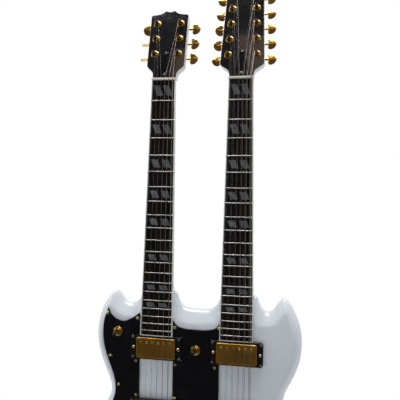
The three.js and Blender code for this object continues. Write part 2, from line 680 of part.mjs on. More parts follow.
function neckGeometry(neck) {
  const voluteTop = SHAFT_TOP - HEAD_FACE_STEP + VOLUTE_LENGTH * Math.tan(HEAD_TILT);
  const rings = [
    neckRing(NUT_FAR + VOLUTE_LENGTH, NUT_WIDTH / 2, voluteTop, HEAD_THICKNESS, VOLUTE_SQUARENESS),
    neckRing(SCALE_LENGTH, NUT_WIDTH / 2, SHAFT_TOP, SHAFT_DEPTH_AT_NUT, SHAFT_SQUARENESS),
  ];
  for (const [lengthShare, depthShare, power] of HEEL_SHARES) {
    const z = HEEL_FROM_BRIDGE + lengthShare * HEEL_CURVE;
    const depth = THREE.MathUtils.lerp(SHAFT_DEPTH_AT_HEEL, HEEL_DEPTH, depthShare);
    rings.push(neckRing(z, boardHalfWidth(z), SHAFT_TOP, depth, power));
  }
  const tenonLength = HEEL_FROM_BRIDGE + TENON_ROOT - BOARD_END;
  const tenon = box(
    TENON_WIDTH, TENON_DEPTH, tenonLength,
    0, SHAFT_TOP + TENON_DEPTH / 2, BOARD_END + tenonLength / 2,
  );
  const head = plate(headShape(neck), HEAD_THICKNESS).translate(0, HEAD_THICKNESS, 0);
  const holes = tunerPlaces(neck).map(({ x, z }) => (
    hole('y', BUSHING_RADIUS + CLEARANCE, -OVERRUN, HEAD_THICKNESS + OVERRUN).translate(x, 0, z)
  ));
  const pocket = box(
    TRUSS_POCKET_WIDTH, HEAD_THICKNESS, TRUSS_POCKET_LENGTH, 0, 0, TRUSS_POCKET_LENGTH / 2,
  );
  const { matrix } = headFrame();
  const headWithHoles = cut(head, pocket, ...holes).applyMatrix4(matrix);
  const boardSpaceEnd = NUT_FAR + CLEARANCE;
  const boardSpace = box(
    2 * BOARD_END_WIDTH, SHAFT_TOP + OVERRUN, boardSpaceEnd,
    0, (SHAFT_TOP - OVERRUN) / 2, boardSpaceEnd / 2,
  );
  const channelLength = NUT_FAR - TRUSS_ROD_START + 2 * OVERRUN;
  const channel = box(
    TRUSS_ROD_WIDTH + 2 * CLEARANCE, TRUSS_ROD_DEPTH + OVERRUN + CLEARANCE, channelLength,
    0, SHAFT_TOP + (TRUSS_ROD_DEPTH + CLEARANCE - OVERRUN) / 2, NUT_FAR + OVERRUN - channelLength / 2,
  );
  const rodNutEnd = NUT_FAR + TRUSS_NUT_LENGTH + OVERRUN;
  const rodNutSpace = hole('z', TRUSS_NUT_RADIUS + CLEARANCE, NUT_FAR, rodNutEnd)
    .translate(0, TRUSS_ROD_MIDDLE, 0);
  const shaft = join(loft(rings, seenAlongNeck), tenon);
  return cut(join(shaft, headWithHoles), boardSpace, channel, rodNutSpace);
}

function trussRodGeometry() {
  const length = NUT_FAR - TRUSS_ROD_START;
  const rod = box(
    TRUSS_ROD_WIDTH, TRUSS_ROD_DEPTH - CLEARANCE, length,
    0, TRUSS_ROD_MIDDLE, TRUSS_ROD_START + length / 2,
  );
  const nut = bar('z', TRUSS_NUT_RADIUS, NUT_FAR + CLEARANCE, NUT_FAR + TRUSS_NUT_LENGTH, HEX_SIDES)
    .translate(0, TRUSS_ROD_MIDDLE, 0);
  const thread = bar('z', TRUSS_THREAD_RADIUS, NUT_FAR - CLEARANCE, NUT_FAR + 2 * CLEARANCE, HEX_SIDES)
    .translate(0, TRUSS_ROD_MIDDLE, 0);
  return join(rod, nut, thread);
}

// The crown across the fretboard from right to left, at a height over it
function crownLine(z, halfWidth, height) {
  return Array.from({ length: CROWN_STEPS + 1 }, (_, k) => {
    const x = halfWidth * (1 - (2 * k) / CROWN_STEPS);
    return new THREE.Vector3(x, STRING_TO_BOARD + crownFall(x) - height, z);
  });
}

function fretboardGeometry() {
  const far = SCALE_LENGTH - CLEARANCE;
  const board = [BOARD_END, far].map((z) => {
    const half = boardHalfWidth(z);
    const under = [-half, half].map((x) => new THREE.Vector3(x, BOARD_BOTTOM, z));
    return [...crownLine(z, half, 0), ...under];
  });
  const frets = [];
  for (let n = 1; n <= FRET_COUNT; n += 1) {
    const z = SCALE_LENGTH * 2 ** (-n / 12);
    const half = boardHalfWidth(z) - FRET_INSET;
    const slice = (at) => [
      ...crownLine(at, half, FRET_HEIGHT),
      ...crownLine(at, half, -FRET_TANG).reverse(),
    ];
    frets.push(loft([slice(z - FRET_WIDTH / 2), slice(z + FRET_WIDTH / 2)], seenAlongNeck));
  }
  return join(loft(board, seenAlongNeck), ...frets);
}

// Headstocks, in their own tilted plane: y = 0 is the face and z = 0 its lower end at the nut

function headFrame() {
  const frame = new THREE.Group();
  frame.position.set(0, SHAFT_TOP - HEAD_FACE_STEP, NUT_FAR + CLEARANCE);
  frame.rotation.x = -HEAD_TILT;
  frame.updateMatrix();
  return frame;
}

function headLength(neck) {
  return neck.firstRow + (neck.rows - 1) * TUNER_PITCH + HEAD_TOP_MARGIN;
}

function headHalfWidth(neck, z) {
  const share = (z - HEAD_FLARE_LENGTH) / (headLength(neck) - HEAD_TOP_RISE - HEAD_FLARE_LENGTH);
  return THREE.MathUtils.lerp(neck.flareHalf, neck.topHalf, share);
}

// Flare from the neck: share of the widening, share of the flare's length
const FLARE_SHARES = [[0, 0], [0.12, 0.45], [0.5, 0.68], [0.86, 0.86], [1, 1]];
// Top edge: share of the half width, share of the rise at the middle
const HEAD_TOP_SHARES = [[1, 0], [0.6, 0.2], [0.42, 0.45], [0.24, 1], [0.1, 0.85], [0, 0.75]];

function headShape(neck) {
  const length = headLength(neck);
  const foot = NUT_WIDTH / 2;
  const half = [
    ...FLARE_SHARES.map(([widthShare, lengthShare]) => (
      [THREE.MathUtils.lerp(foot, neck.flareHalf, widthShare), lengthShare * HEAD_FLARE_LENGTH]
    )),
    ...HEAD_TOP_SHARES.map(([widthShare, riseShare]) => (
      [widthShare * neck.topHalf, length - HEAD_TOP_RISE * (1 - riseShare)]
    )),
  ];
  const right = half.map(([x, z]) => new THREE.Vector2(x, z));
  const left = half.slice(0, -1).reverse().map(([x, z]) => new THREE.Vector2(-x, z));
  return new THREE.Shape([...right, ...left]);
}

function tunerPlaces(neck) {
  const places = [];
  for (const side of [-1, 1]) {
    for (let row = 0; row < neck.rows; row += 1) {
      const z = neck.firstRow + row * TUNER_PITCH;
      places.push({ side, row, x: side * (headHalfWidth(neck, z) - TUNER_EDGE_MARGIN), z });
    }
  }
  return places;
}

// One side's tuning machines: posts and bushings through the headstock, gear housings on a strip behind
function tunerBankGeometry(neck, side) {
  const places = tunerPlaces(neck).filter((place) => place.side === side);
  const [first, last] = [places[0], places[places.length - 1]];
  const strip = box(STRIP_WIDTH, STRIP_THICKNESS, last.z - first.z + HOUSING_LENGTH)
    .rotateY(Math.atan2(last.x - first.x, last.z - first.z))
    .translate((first.x + last.x) / 2, STRIP_BACK - STRIP_THICKNESS / 2, (first.z + last.z) / 2);
  const washerBack = -CLEARANCE;
  const washerFront = washerBack - WASHER_THICKNESS;
  const hexFront = washerBack - HEX_HEIGHT;
  const postProfile = [
    [0, -POST_HEIGHT], [POST_RADIUS, -POST_HEIGHT], [POST_RADIUS, hexFront], [HEX_RADIUS, hexFront],
    [HEX_RADIUS, washerFront], [WASHER_RADIUS, washerFront], [WASHER_RADIUS, washerBack],
    [BUSHING_RADIUS, washerBack], [BUSHING_RADIUS, SHAFT_Y - BUSHING_RADIUS], [0, SHAFT_Y - BUSHING_RADIUS],
  ];
  const machines = places.flatMap(({ x, z }) => [
    box(HOUSING_WIDTH, HOUSING_DEPTH, HOUSING_LENGTH, x, SHAFT_Y, z),
    turned(postProfile, SMALL_SIDES).translate(x, 0, z),
  ]);
  const bores = places.map(({ x, z }) => {
    const edge = x + (side * HOUSING_WIDTH) / 2;
    const ends = [edge - side * (SHAFT_ENGAGEMENT + CLEARANCE), edge + side * OVERRUN].sort((a, b) => a - b);
    return hole('x', SHAFT_RADIUS + CLEARANCE, ends[0], ends[1]).translate(0, SHAFT_Y, z);
  });
  return cut(join(strip, ...machines), ...bores);
}

// The button's outline: dented a little towards the housing, round outside; x along the shaft
function buttonShape() {
  const half = BUTTON_HEIGHT / 2;
  const horn = half * BUTTON_HORN_SHARE;
  const shape = new THREE.Shape();
  shape.moveTo(BUTTON_DENT, 0);
  shape.quadraticCurveTo(BUTTON_DENT / 2, -half / 2, 0, -horn);
  shape.quadraticCurveTo(BUTTON_DENT / 2, -half, BUTTON_SHOULDER, -half);
  shape.absellipse(BUTTON_SHOULDER, 0, BUTTON_WIDTH - BUTTON_SHOULDER, half, -Math.PI / 2, Math.PI / 2);
  shape.quadraticCurveTo(BUTTON_DENT / 2, half, 0, horn);
  shape.quadraticCurveTo(BUTTON_DENT / 2, half / 2, BUTTON_DENT, 0);
  return shape;
}

function buttonGeometry(side) {
  const geometry = new THREE.ExtrudeGeometry(buttonShape(), {
    depth: BUTTON_THICKNESS - 2 * BUTTON_CHAMFER,
    bevelThickness: BUTTON_CHAMFER,
    bevelSize: BUTTON_CHAMFER,
    bevelOffset: -BUTTON_CHAMFER,
    bevelSegments: 1,
    curveSegments: 2,
  });
  geometry.translate(BUTTON_REACH, 0, BUTTON_CHAMFER - BUTTON_THICKNESS / 2);
  const start = HOUSING_WIDTH / 2 - SHAFT_ENGAGEMENT;
  const shaft = bar('x', SHAFT_RADIUS, start, BUTTON_REACH + BUTTON_WIDTH / 2, HEX_SIDES);
  const button = join(geometry, shaft);
  return side > 0 ? button : button.rotateZ(Math.PI);
}

// How far each button is turned about its shaft in the photo, from the bottom row up, in quarter turns
const BUTTON_TURN_SHARES = {
  'left_6': [0.35, 0.3, 1.08],
  'right_6': [1.1, 1.08, 1.08],
  'left_12': [1.03, 1.08, 1.1, 1.05, 1.03, 1.08],
  'right_12': [1.03, 1.04, 1.05, 1.04, 1.05, 1.03],
};

// A bell: wide at the nut, drawn in to a round top
function trussCoverGeometry() {
  const half = COVER_WIDTH / 2;
  const middle = COVER_LENGTH / 2;
  const shape = new THREE.Shape();
  shape.moveTo(-half, 0);
  shape.lineTo(half, 0);
  shape.bezierCurveTo(half, COVER_BELL_RISE, COVER_NECK_HALF, middle, COVER_NECK_HALF, COVER_SHOULDER);
  shape.quadraticCurveTo(COVER_NECK_HALF, COVER_LENGTH, 0, COVER_LENGTH);
  shape.quadraticCurveTo(-COVER_NECK_HALF, COVER_LENGTH, -COVER_NECK_HALF, COVER_SHOULDER);
  shape.bezierCurveTo(-COVER_NECK_HALF, middle, -half, COVER_BELL_RISE, -half, 0);
  return plate(shape, COVER_THICKNESS).translate(0, -CLEARANCE, COVER_START);
}

// Strings, each from the tailpiece over the bridge and the nut to its post, held by the nut

// Places of the courses across the spread, from left to right
const courseShares = Array.from({ length: COURSE_COUNT }, (_, k) => k / (COURSE_COUNT - 1) - 0.5);

function stringCourses(neck) {
  const strings = [];
  for (const share of courseShares) {
    const offsets = neck.paired ? [-0.5, 0.5] : [0];
    for (const offset of offsets) {
      strings.push({
        nutX: share * NUT_STRING_SPREAD + offset * PAIR_GAP_AT_NUT,
        bridgeX: share * BRIDGE_STRING_SPREAD + offset * PAIR_GAP_AT_BRIDGE,
        radius: THREE.MathUtils.lerp(THINNEST_STRING_RADIUS, THICKEST_STRING_RADIUS, 0.5 + share),
      });
    }
  }
  return strings;
}

// The outermost string of each side goes to the lowest post, the innermost to the highest
function postOf(neck, index) {
  const side = index < neck.rows ? -1 : 1;
  const row = side < 0 ? index : 2 * neck.rows - 1 - index;
  return tunerPlaces(neck).find((place) => place.side === side && place.row === row);
}

function stringRing(point, radius) {
  return Array.from({ length: STRING_SIDES }, (_, k) => {
    const angle = (2 * Math.PI * k) / STRING_SIDES;
    return new THREE.Vector3(
      point.x + radius * Math.cos(angle),
      point.y + radius * Math.sin(angle),
      point.z,
    );
  });
}

function nutWithStringsGeometry(neck) {
  const head = headFrame().matrix;
  const intoNeck = neckFrame(neck).matrix.clone().invert();
  const nut = box(
    NUT_WIDTH, BOARD_BOTTOM + NUT_ABOVE_STRINGS, NUT_THICKNESS,
    0, (BOARD_BOTTOM - NUT_ABOVE_STRINGS) / 2, SCALE_LENGTH + NUT_THICKNESS / 2,
  );
  const strings = stringCourses(neck).map(({ nutX, bridgeX, radius }, index) => {
    const post = postOf(neck, index);
    const beside = post.side * (POST_RADIUS + radius + CLEARANCE);
    const atPost = new THREE.Vector3(post.x - beside, -STRING_HEIGHT_AT_POST, post.z)
      .applyMatrix4(head);
    const atTail = new THREE.Vector3(neck.x + bridgeX, TAIL_MIDDLE, TAIL_TOP_EDGE + CLEARANCE)
      .applyMatrix4(intoNeck);
    const path = [
      atTail,
      new THREE.Vector3(bridgeX, 0, -SADDLE_LENGTH / 2),
      new THREE.Vector3(nutX, 0, SCALE_LENGTH + NUT_THICKNESS / 2),
      atPost,
    ];
    return loft(path.map((point) => stringRing(point, radius)), seenAlongNeck);
  });
  return join(nut, ...strings);
}

// Hardware on the face

function pickupGeometry(z) {
  const top = -(stringHeight(z) - PICKUP_TO_STRINGS);
  const shape = roundedRectangle(PICKUP_WIDTH, PICKUP_LENGTH, PICKUP_CORNER);
  const cover = plate(shape, PICKUP_DEPTH, PICKUP_CHAMFER).translate(0, top + PICKUP_DEPTH, 0);
  const ears = box(PICKUP_EARS, EAR_THICKNESS, EAR_LENGTH, 0, top + PICKUP_DEPTH - EAR_THICKNESS / 2, 0);
  return join(cover, ears);
}

function ringGeometry(z) {
  const height = stringHeight(z) - PICKUP_TO_STRINGS - PICKUP_PROUD;
  const shape = roundedRectangle(RING_WIDTH, RING_LENGTH, RING_CORNER);
  const window = roundedRectangle(
    PICKUP_WIDTH + 2 * RING_GAP, PICKUP_LENGTH + 2 * RING_GAP, PICKUP_CORNER,
  );
  const frame = plate(shape, height - CLEARANCE, RING_CHAMFER).translate(0, -CLEARANCE, 0);
  return cut(frame, plate(window, height + 2 * OVERRUN).translate(0, OVERRUN, 0));
}

function bridgeGeometry() {
  const saddleTop = -(BRIDGE_STRING_HEIGHT - THICKEST_STRING_RADIUS - CLEARANCE);
  const barTop = saddleTop + SADDLE_HEIGHT;
  const barBottom = barTop + BRIDGE_BAR_THICKNESS;
  const shape = roundedRectangle(BRIDGE_WIDTH, BRIDGE_BAR_DEPTH, BRIDGE_BAR_CORNER);
  const pieces = [plate(shape, BRIDGE_BAR_THICKNESS, PICKUP_CHAMFER).translate(0, barBottom, 0)];
  for (const share of courseShares) {
    const x = share * BRIDGE_STRING_SPREAD;
    pieces.push(box(SADDLE_WIDTH, 2 * SADDLE_HEIGHT, SADDLE_LENGTH, x, saddleTop + SADDLE_HEIGHT, 0));
  }
  for (const side of [-1, 1]) {
    const x = (side * BRIDGE_POST_SPACING) / 2;
    const wheelBack = barBottom + THUMBWHEEL_THICKNESS;
    pieces.push(bar('y', THUMBWHEEL_RADIUS, barBottom - OVERRUN / 2, wheelBack).translate(x, 0, 0));
    pieces.push(bar('y', BRIDGE_POST_RADIUS, barBottom, STUD_DEPTH, SMALL_SIDES).translate(x, 0, 0));
  }
  return join(...pieces);
}

function tailpieceGeometry() {
  const shape = roundedRectangle(TAIL_WIDTH, TAIL_DEPTH, TAIL_CORNER);
  const pieces = [plate(shape, TAIL_THICKNESS, TAIL_CHAMFER).translate(0, -TAIL_HEIGHT, 0)];
  for (const side of [-1, 1]) {
    const x = (side * TAIL_STUD_SPACING) / 2;
    const top = -(TAIL_HEIGHT + TAIL_THICKNESS);
    pieces.push(bar('y', TAIL_STUD_RADIUS, top, STUD_DEPTH, SMALL_SIDES).translate(x, 0, 0));
    pieces.push(bar('y', TAIL_STUD_HEAD_RADIUS, top - CLEARANCE, top + TAIL_CHAMFER).translate(x, 0, 0));
  }
  return join(...pieces);
}

// Upper edge of the left pickguard, from the cutaway round the horn's tip:
// x as a share of the horn's room, z of the body's length
const LEFT_GUARD_CUTAWAY_SHARES = [[0.064, 0.881], [0.201, 0.865], [0.338, 0.87], [0.461, 0.891]];
const LEFT_GUARD_TIP_SHARES = [[0.525, 0.922], [0.598, 0.868]];
// Its outer edge, from the horn round the waist: x as a share of the body's width
const LEFT_GUARD_OUTER_SHARES = [
  [-0.411, 0.808], [-0.406, 0.756], [-0.394, 0.71], [-0.377, 0.663],
  [-0.362, 0.622], [-0.353, 0.58], [-0.353, 0.536], [-0.367, 0.492], [-0.387, 0.446], [-0.38, 0.409],
  [-0.345, 0.394],
];
// Upper edge of the centre pickguard: x as a share of its half width, z of the body's length
const CENTRE_GUARD_TOP_SHARES = [[1, 0.879], [0.82, 0.857], [0.5, 0.847], [0, 0.845]];
const GUARD_TOP_SHARE = 0.907;
const GUARD_BOTTOM_SHARE = 0.394;

function guardGeometry(shape, holes) {
  const ringSpace = roundedRectangle(
    RING_WIDTH + 2 * CLEARANCE, RING_LENGTH + 2 * CLEARANCE, RING_CORNER,
  );
  const rings = pickupPlaces.map(({ x, z }) => plate(ringSpace, 2 * OVERRUN).translate(x, OVERRUN, z));
  const bores = holes.map(({ x, y: z }) => (
    hole('y', TOGGLE_BUSHING_RADIUS + CLEARANCE, -2 * OVERRUN, OVERRUN).translate(x, 0, z)
  ));
  const guard = plate(shape, GUARD_THICKNESS, GUARD_CHAMFER).translate(0, -CLEARANCE, 0);
  return cut(guard, ...rings, ...bores);
}

function leftGuardGeometry() {
  const edge = SIX.x - STRIP_HALF_WIDTH;
  const onSide = ([xShare, zShare]) => new THREE.Vector2(xShare * BODY_WIDTH, alongBody(zShare));
  const onHorn = ([xShare, zShare]) => (
    new THREE.Vector2(-HORN_START - xShare * HORN_ROOM, alongBody(zShare))
  );
  const [tip, ...pastTip] = LEFT_GUARD_TIP_SHARES.map(onHorn);
  const shape = new THREE.Shape();
  shape.moveTo(edge, alongBody(GUARD_BOTTOM_SHARE));
  shape.lineTo(edge, alongBody(GUARD_TOP_SHARE));
  shape.splineThru(LEFT_GUARD_CUTAWAY_SHARES.map(onHorn));
  shape.lineTo(tip.x, tip.y);
  shape.splineThru([...pastTip, ...LEFT_GUARD_OUTER_SHARES.map(onSide)]);
  return guardGeometry(new THREE.Shape(shape.getPoints(1)), [togglePlaces.left]);
}

function centreGuardGeometry() {
  const half = NECK_SPACING / 2 - STRIP_HALF_WIDTH;
  const right = CENTRE_GUARD_TOP_SHARES.map(([xShare, zShare]) => [xShare * half, alongBody(zShare)]);
  const left = right.slice(0, -1).reverse().map(([x, z]) => [-x, z]);
  const bottom = alongBody(GUARD_BOTTOM_SHARE);
  const corners = [[half, bottom], ...right, ...left, [-half, bottom]];
  const points = corners.map(([x, z]) => new THREE.Vector2(x, z));
  return guardGeometry(new THREE.Shape(points), [togglePlaces.centre]);
}

// A switch frame in its rout, with a threaded bushing through the pickguard and a nut on top
function toggleGeometry() {
  const nutBack = GUARD_FRONT - CLEARANCE;
  const front = nutBack - TOGGLE_NUT_HEIGHT;
  const body = join(
    box(
      TOGGLE_FRAME_WIDTH, TOGGLE_FRAME_DEPTH, TOGGLE_FRAME_LENGTH,
      0, TOGGLE_FRAME_DEPTH / 2 + CLEARANCE, 0,
    ),
    bar('y', TOGGLE_BUSHING_RADIUS, front - TOGGLE_BUSHING_HEIGHT, OVERRUN / 2),
    bar('y', TOGGLE_NUT_RADIUS, front, nutBack),
  );
  return cut(body, hole('y', TOGGLE_BORE_RADIUS, front - OVERRUN, LEVER_BALL_RADIUS + CLEARANCE));
}

// The lever turns about its ball, at the origin
function leverGeometry() {
  const tipFoot = LEVER_TIP_LENGTH - LEVER_LENGTH;
  return join(
    bar('y', LEVER_RADIUS, tipFoot - LEVER_TIP_LENGTH / 2, 0, SMALL_SIDES),
    new THREE.SphereGeometry(LEVER_BALL_RADIUS, SMALL_SIDES, HEX_SIDES),
    turned([
      [0, -LEVER_LENGTH], [LEVER_TIP_RADIUS * LEVER_TIP_END_SHARE, -LEVER_LENGTH],
      [LEVER_TIP_RADIUS, LEVER_TIP_ROUNDING - LEVER_LENGTH],
      [LEVER_TIP_RADIUS * LEVER_TIP_FOOT_SHARE, tipFoot], [0, tipFoot],
    ]),
  );
}

// Four potentiometers joined by their earth plate, their bushings and nuts through the body's top
function controlPlateGeometry() {
  const back = CAVITY_TOP_WOOD + CLEARANCE;
  const nutFront = -(CLEARANCE + POT_NUT_THICKNESS);
  const shape = hullShape(knobPlaces, POT_RADIUS);
  const pieces = [plate(shape, CONTROL_PLATE_THICKNESS).translate(0, back + CONTROL_PLATE_THICKNESS, 0)];
  for (const { x, y: z } of knobPlaces) {
    pieces.push(bar('y', POT_RADIUS, back, back + CONTROL_PLATE_THICKNESS + POT_DEPTH).translate(x, 0, z));
    pieces.push(bar('y', POT_BUSHING_RADIUS, nutFront, back + CLEARANCE, SMALL_SIDES).translate(x, 0, z));
    pieces.push(bar('y', POT_NUT_RADIUS, nutFront, -CLEARANCE, HEX_SIDES).translate(x, 0, z));
  }
  const bores = knobPlaces.map(({ x, y: z }) => (
    hole('y', POT_SHAFT_RADIUS + CLEARANCE, nutFront - OVERRUN, POT_SHAFT_DEPTH + CLEARANCE)
      .translate(x, 0, z)
  ));
  return cut(join(...pieces), ...bores);
}

// A knob with its pointer side up; y = 0 is the body's face
function knobGeometry() {
  const back = -(POT_NUT_THICKNESS + 3 * CLEARANCE);
  const front = back - KNOB_HEIGHT;
  const skirt = back - KNOB_SKIRT;
  return turned([
    [0, POT_SHAFT_DEPTH], [POT_SHAFT_RADIUS, POT_SHAFT_DEPTH], [POT_SHAFT_RADIUS, back],
    [KNOB_RADIUS, back], [KNOB_RADIUS, skirt], [KNOB_TOP_RADIUS, front + CLEARANCE],
    [KNOB_TOP_RADIUS - CLEARANCE, front], [0, front],
  ], KNOB_SIDES);
}

function controlCoverGeometry() {
  return plate(cavityShape(COVER_LEDGE - CLEARANCE), CAVITY_COVER_THICKNESS).translate(0, BODY_THICKNESS, 0);
}

function jackGeometry() {
  const plateFront = -(CLEARANCE + JACK_PLATE_THICKNESS);
  const nutFront = plateFront - JACK_NUT_HEIGHT;
  const bodyStart = CAVITY_TOP_WOOD + CLEARANCE;
  const shape = roundedRectangle(JACK_PLATE_WIDTH, JACK_PLATE_LENGTH, JACK_PLATE_CORNER);
  const whole = join(
    plate(shape, JACK_PLATE_THICKNESS).translate(0, -CLEARANCE, 0),
    bar('y', JACK_NUT_RADIUS, nutFront, plateFront + CLEARANCE, HEX_SIDES),
    bar('y', JACK_BUSHING_RADIUS, nutFront, bodyStart + CLEARANCE),
    bar('y', JACK_BODY_RADIUS, bodyStart, bodyStart + JACK_BODY_DEPTH),
  );
  return cut(whole, hole('y', JACK_BORE_RADIUS, nutFront - OVERRUN, nutFront + JACK_BORE_DEPTH));
}

// A strap button standing out along -Y from its seat at y = 0, with its screw along +Y
function strapButtonGeometry() {
  const waistEnd = -STRAP_BUTTON_LENGTH + STRAP_FLANGE_THICKNESS;
  return turned([
    [0, STRAP_SCREW_LENGTH], [STRAP_SCREW_RADIUS, STRAP_SCREW_LENGTH], [STRAP_SCREW_RADIUS, 0],
    [STRAP_BASE_RADIUS, 0], [STRAP_BASE_RADIUS, -STRAP_BASE_THICKNESS],
    [STRAP_WAIST_RADIUS, -STRAP_BASE_THICKNESS - STRAP_TAPER], [STRAP_WAIST_RADIUS, waistEnd + STRAP_TAPER],
    [STRAP_FLANGE_RADIUS, waistEnd], [STRAP_FLANGE_RADIUS, -STRAP_BUTTON_LENGTH],
    [0, -STRAP_BUTTON_LENGTH],
  ]);
}

// Materials

const finish = (color, roughness, metalness) => (
  new THREE.MeshStandardMaterial({ color, roughness, metalness })
);
const whiteGloss = finish(0xe9e9ec, 0.12, 0);
const blackGloss = finish(0x0a0a0c, 0.12, 0);
const rosewood = finish(0x1c1512, 0.55, 0);
const gold = finish(0xd4a445, 0.25, 1);
const steel = finish(0xb8b8bc, 0.3, 1);
const bone = finish(0xcfc6b4, 0.5, 0);
const blackPlastic = finish(0x111113, 0.4, 0);

// Assembly

// Everything is placed from the body's face, and the whole is then centred on the body's thickness
const guitar = new THREE.Group();
guitar.position.y = -BODY_THICKNESS / 2;
const part = new THREE.Group();
part.add(guitar);

function add(parent, name, geometry, material, x = 0, y = 0, z = 0) {
  const mesh = new THREE.Mesh(geometry, material);
  mesh.name = name;
  mesh.position.set(x, y, z);
  parent.add(mesh);
  return mesh;
}

add(guitar, 'body', bodyGeometry(), whiteGloss);

for (const neck of NECKS) {
  const frame = neckFrame(neck);
  const head = headFrame();
  frame.add(head);
  guitar.add(frame);
  add(frame, `neck_${neck.label}`, neckGeometry(neck), whiteGloss);
  add(frame, `truss_rod_${neck.label}`, trussRodGeometry(), steel);
  add(frame, `fretboard_${neck.label}`, fretboardGeometry(), rosewood);
  add(frame, `nut_with_strings_${neck.label}`, nutWithStringsGeometry(neck), bone);
  add(head, `truss_rod_cover_${neck.label}`, trussCoverGeometry(), blackPlastic);
  for (const [side, sideName] of [[-1, 'left'], [1, 'right']]) {
    add(head, `tuner_bank_${sideName}_${neck.label}`, tunerBankGeometry(neck, side), gold);
    const turns = BUTTON_TURN_SHARES[`${sideName}_${neck.label}`];
    for (const { x, z, row } of tunerPlaces(neck).filter((place) => place.side === side)) {
      const name = `tuner_button_${sideName}_${row + 1}_${neck.label}`;
      const button = add(head, name, buttonGeometry(side), gold, x, SHAFT_Y, z);
      button.rotation.x = (turns[row] * Math.PI) / 2;
    }
  }
  add(guitar, `bridge_${neck.label}`, bridgeGeometry(), gold, neck.x, 0, BRIDGE_Z);
  add(guitar, `tailpiece_${neck.label}`, tailpieceGeometry(), gold, neck.x, 0, TAIL_Z);
}

for (const { name, x, z } of pickupPlaces) {
  add(guitar, name, pickupGeometry(z), gold, x, 0, z);
  add(guitar, `${name}_ring`, ringGeometry(z), blackPlastic, x, 0, z);
}

add(guitar, 'pickguard_left', leftGuardGeometry(), blackPlastic);
add(guitar, 'pickguard_centre', centreGuardGeometry(), blackPlastic);

for (const [sideName, { x, y: z }] of Object.entries(togglePlaces)) {
  add(guitar, `toggle_switch_${sideName}`, toggleGeometry(), gold, x, 0, z);
  add(guitar, `toggle_lever_${sideName}`, leverGeometry(), blackPlastic, x, 0, z);
}

add(guitar, 'control_plate', controlPlateGeometry(), steel);
for (const [index, { x, y: z }] of knobPlaces.entries()) {
  add(guitar, `control_knob_${index + 1}`, knobGeometry(), blackGloss, x, 0, z);
}
add(guitar, 'control_cover', controlCoverGeometry(), blackPlastic);
add(guitar, 'output_jack', jackGeometry(), gold, jackPlace.x, 0, jackPlace.y);

const endButton = add(
  guitar, 'strap_button_end', strapButtonGeometry(), gold, 0, BODY_THICKNESS / 2, STRAP_BUTTON_LENGTH,
);
endButton.rotation.x = Math.PI / 2;
const backButton = add(
  guitar, 'strap_button_back', strapButtonGeometry(), gold,
  0, BODY_THICKNESS + CLEARANCE, STRAP_BACK_Z,
);
backButton.rotation.x = Math.PI;

export default part;
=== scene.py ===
# Double-neck electric guitar in white lacquer with gold hardware: six strings on the left,
# twelve on the right. Metres. +Z runs up along the necks, -Y is the front, and the body's face
# lies at FACE.

import math
import random

import bmesh
import bpy
from mathutils import Matrix, Vector


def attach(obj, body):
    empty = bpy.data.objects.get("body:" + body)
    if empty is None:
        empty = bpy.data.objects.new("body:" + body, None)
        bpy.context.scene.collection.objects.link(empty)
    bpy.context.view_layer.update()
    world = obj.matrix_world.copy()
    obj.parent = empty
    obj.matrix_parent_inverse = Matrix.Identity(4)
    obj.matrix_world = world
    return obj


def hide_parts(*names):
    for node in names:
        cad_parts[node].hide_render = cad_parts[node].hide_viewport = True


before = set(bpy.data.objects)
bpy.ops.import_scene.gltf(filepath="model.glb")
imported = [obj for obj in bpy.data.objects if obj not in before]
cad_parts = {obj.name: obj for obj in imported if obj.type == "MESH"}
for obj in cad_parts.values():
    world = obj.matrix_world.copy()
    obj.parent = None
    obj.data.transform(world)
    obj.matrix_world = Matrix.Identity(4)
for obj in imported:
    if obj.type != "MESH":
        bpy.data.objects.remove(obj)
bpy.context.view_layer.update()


# Camera: stands a metre in front of the upper fretboards, a little to the right of the guitar,
# turned and rolled as the photographer held it. The lower end of the body is outside the picture.

CAMERA_SPOT = (0.21158, -1.01154, 0.58659)
CAMERA_TURN = (1.54500, -0.01579, 0.20779)
SENSOR_WIDTH = 36
FOCAL_LENGTH = 54
NEAREST_SEEN = 0.01


def put_in_scene(name, data):
    """A new object that holds a camera, a lamp or a mesh."""
    thing = bpy.data.objects.new(name, data)
    bpy.context.scene.collection.objects.link(thing)
    return thing


lens = bpy.data.cameras.new("studio_lens")
lens.sensor_width = SENSOR_WIDTH
lens.lens = FOCAL_LENGTH
lens.clip_start = NEAREST_SEEN
camera = put_in_scene("studio_camera", lens)
camera.location = CAMERA_SPOT
camera.rotation_euler = CAMERA_TURN
bpy.context.scene.camera = camera


# Studio: a pale floor that keeps the guitar's shadow and fades into a white backdrop. A big soft
# light hangs above, a little before the guitar, and a weaker one stands at either side.

FLOOR_REACH = 12.0
SHADOW_FADE = (0.2, 0.55)
FLOOR_DARKENS = (-0.3, 0.1)
LAMPS = (  # name, spot, aim, watts, width, height
    ("light_above", (0, -0.26, 2.2), (0, -0.26, 0), 45, 1.7, 0.7),
    ("light_left", (-1.9, -0.6, 1.0), (0, 0, 0.45), 3.5, 1.2, 1.2),
    ("light_right", (1.9, -0.6, 1.0), (0, 0, 0.45), 0.5, 1.2, 1.2))

# The room by direction: where each fade starts and ends, then its two strengths if not 0 and 1
WHITE = (1.0, 1.0, 1.0, 1.0)
SKY = (0.87, 0.97, 1.08, 1.0)
BROWN_WALL = (0.85, 0.61, 0.48, 1.0)
SKY_RISES = (-0.2, 1, 0.125, 0.95)
SKY_DARKENS_IN_FRONT = (-1, 0.2, 0.15)
DARK_END = 0.09
ROOM_DARKENS = (-0.4, 0.1)
WALL_FOOT = (0.35, 0.45)
WALL_TOP = (0.69, 0.675)
WALL_SIDE = (-0.21, -0.18)
WALL_IN_FRONT = (-0.4, -0.5)


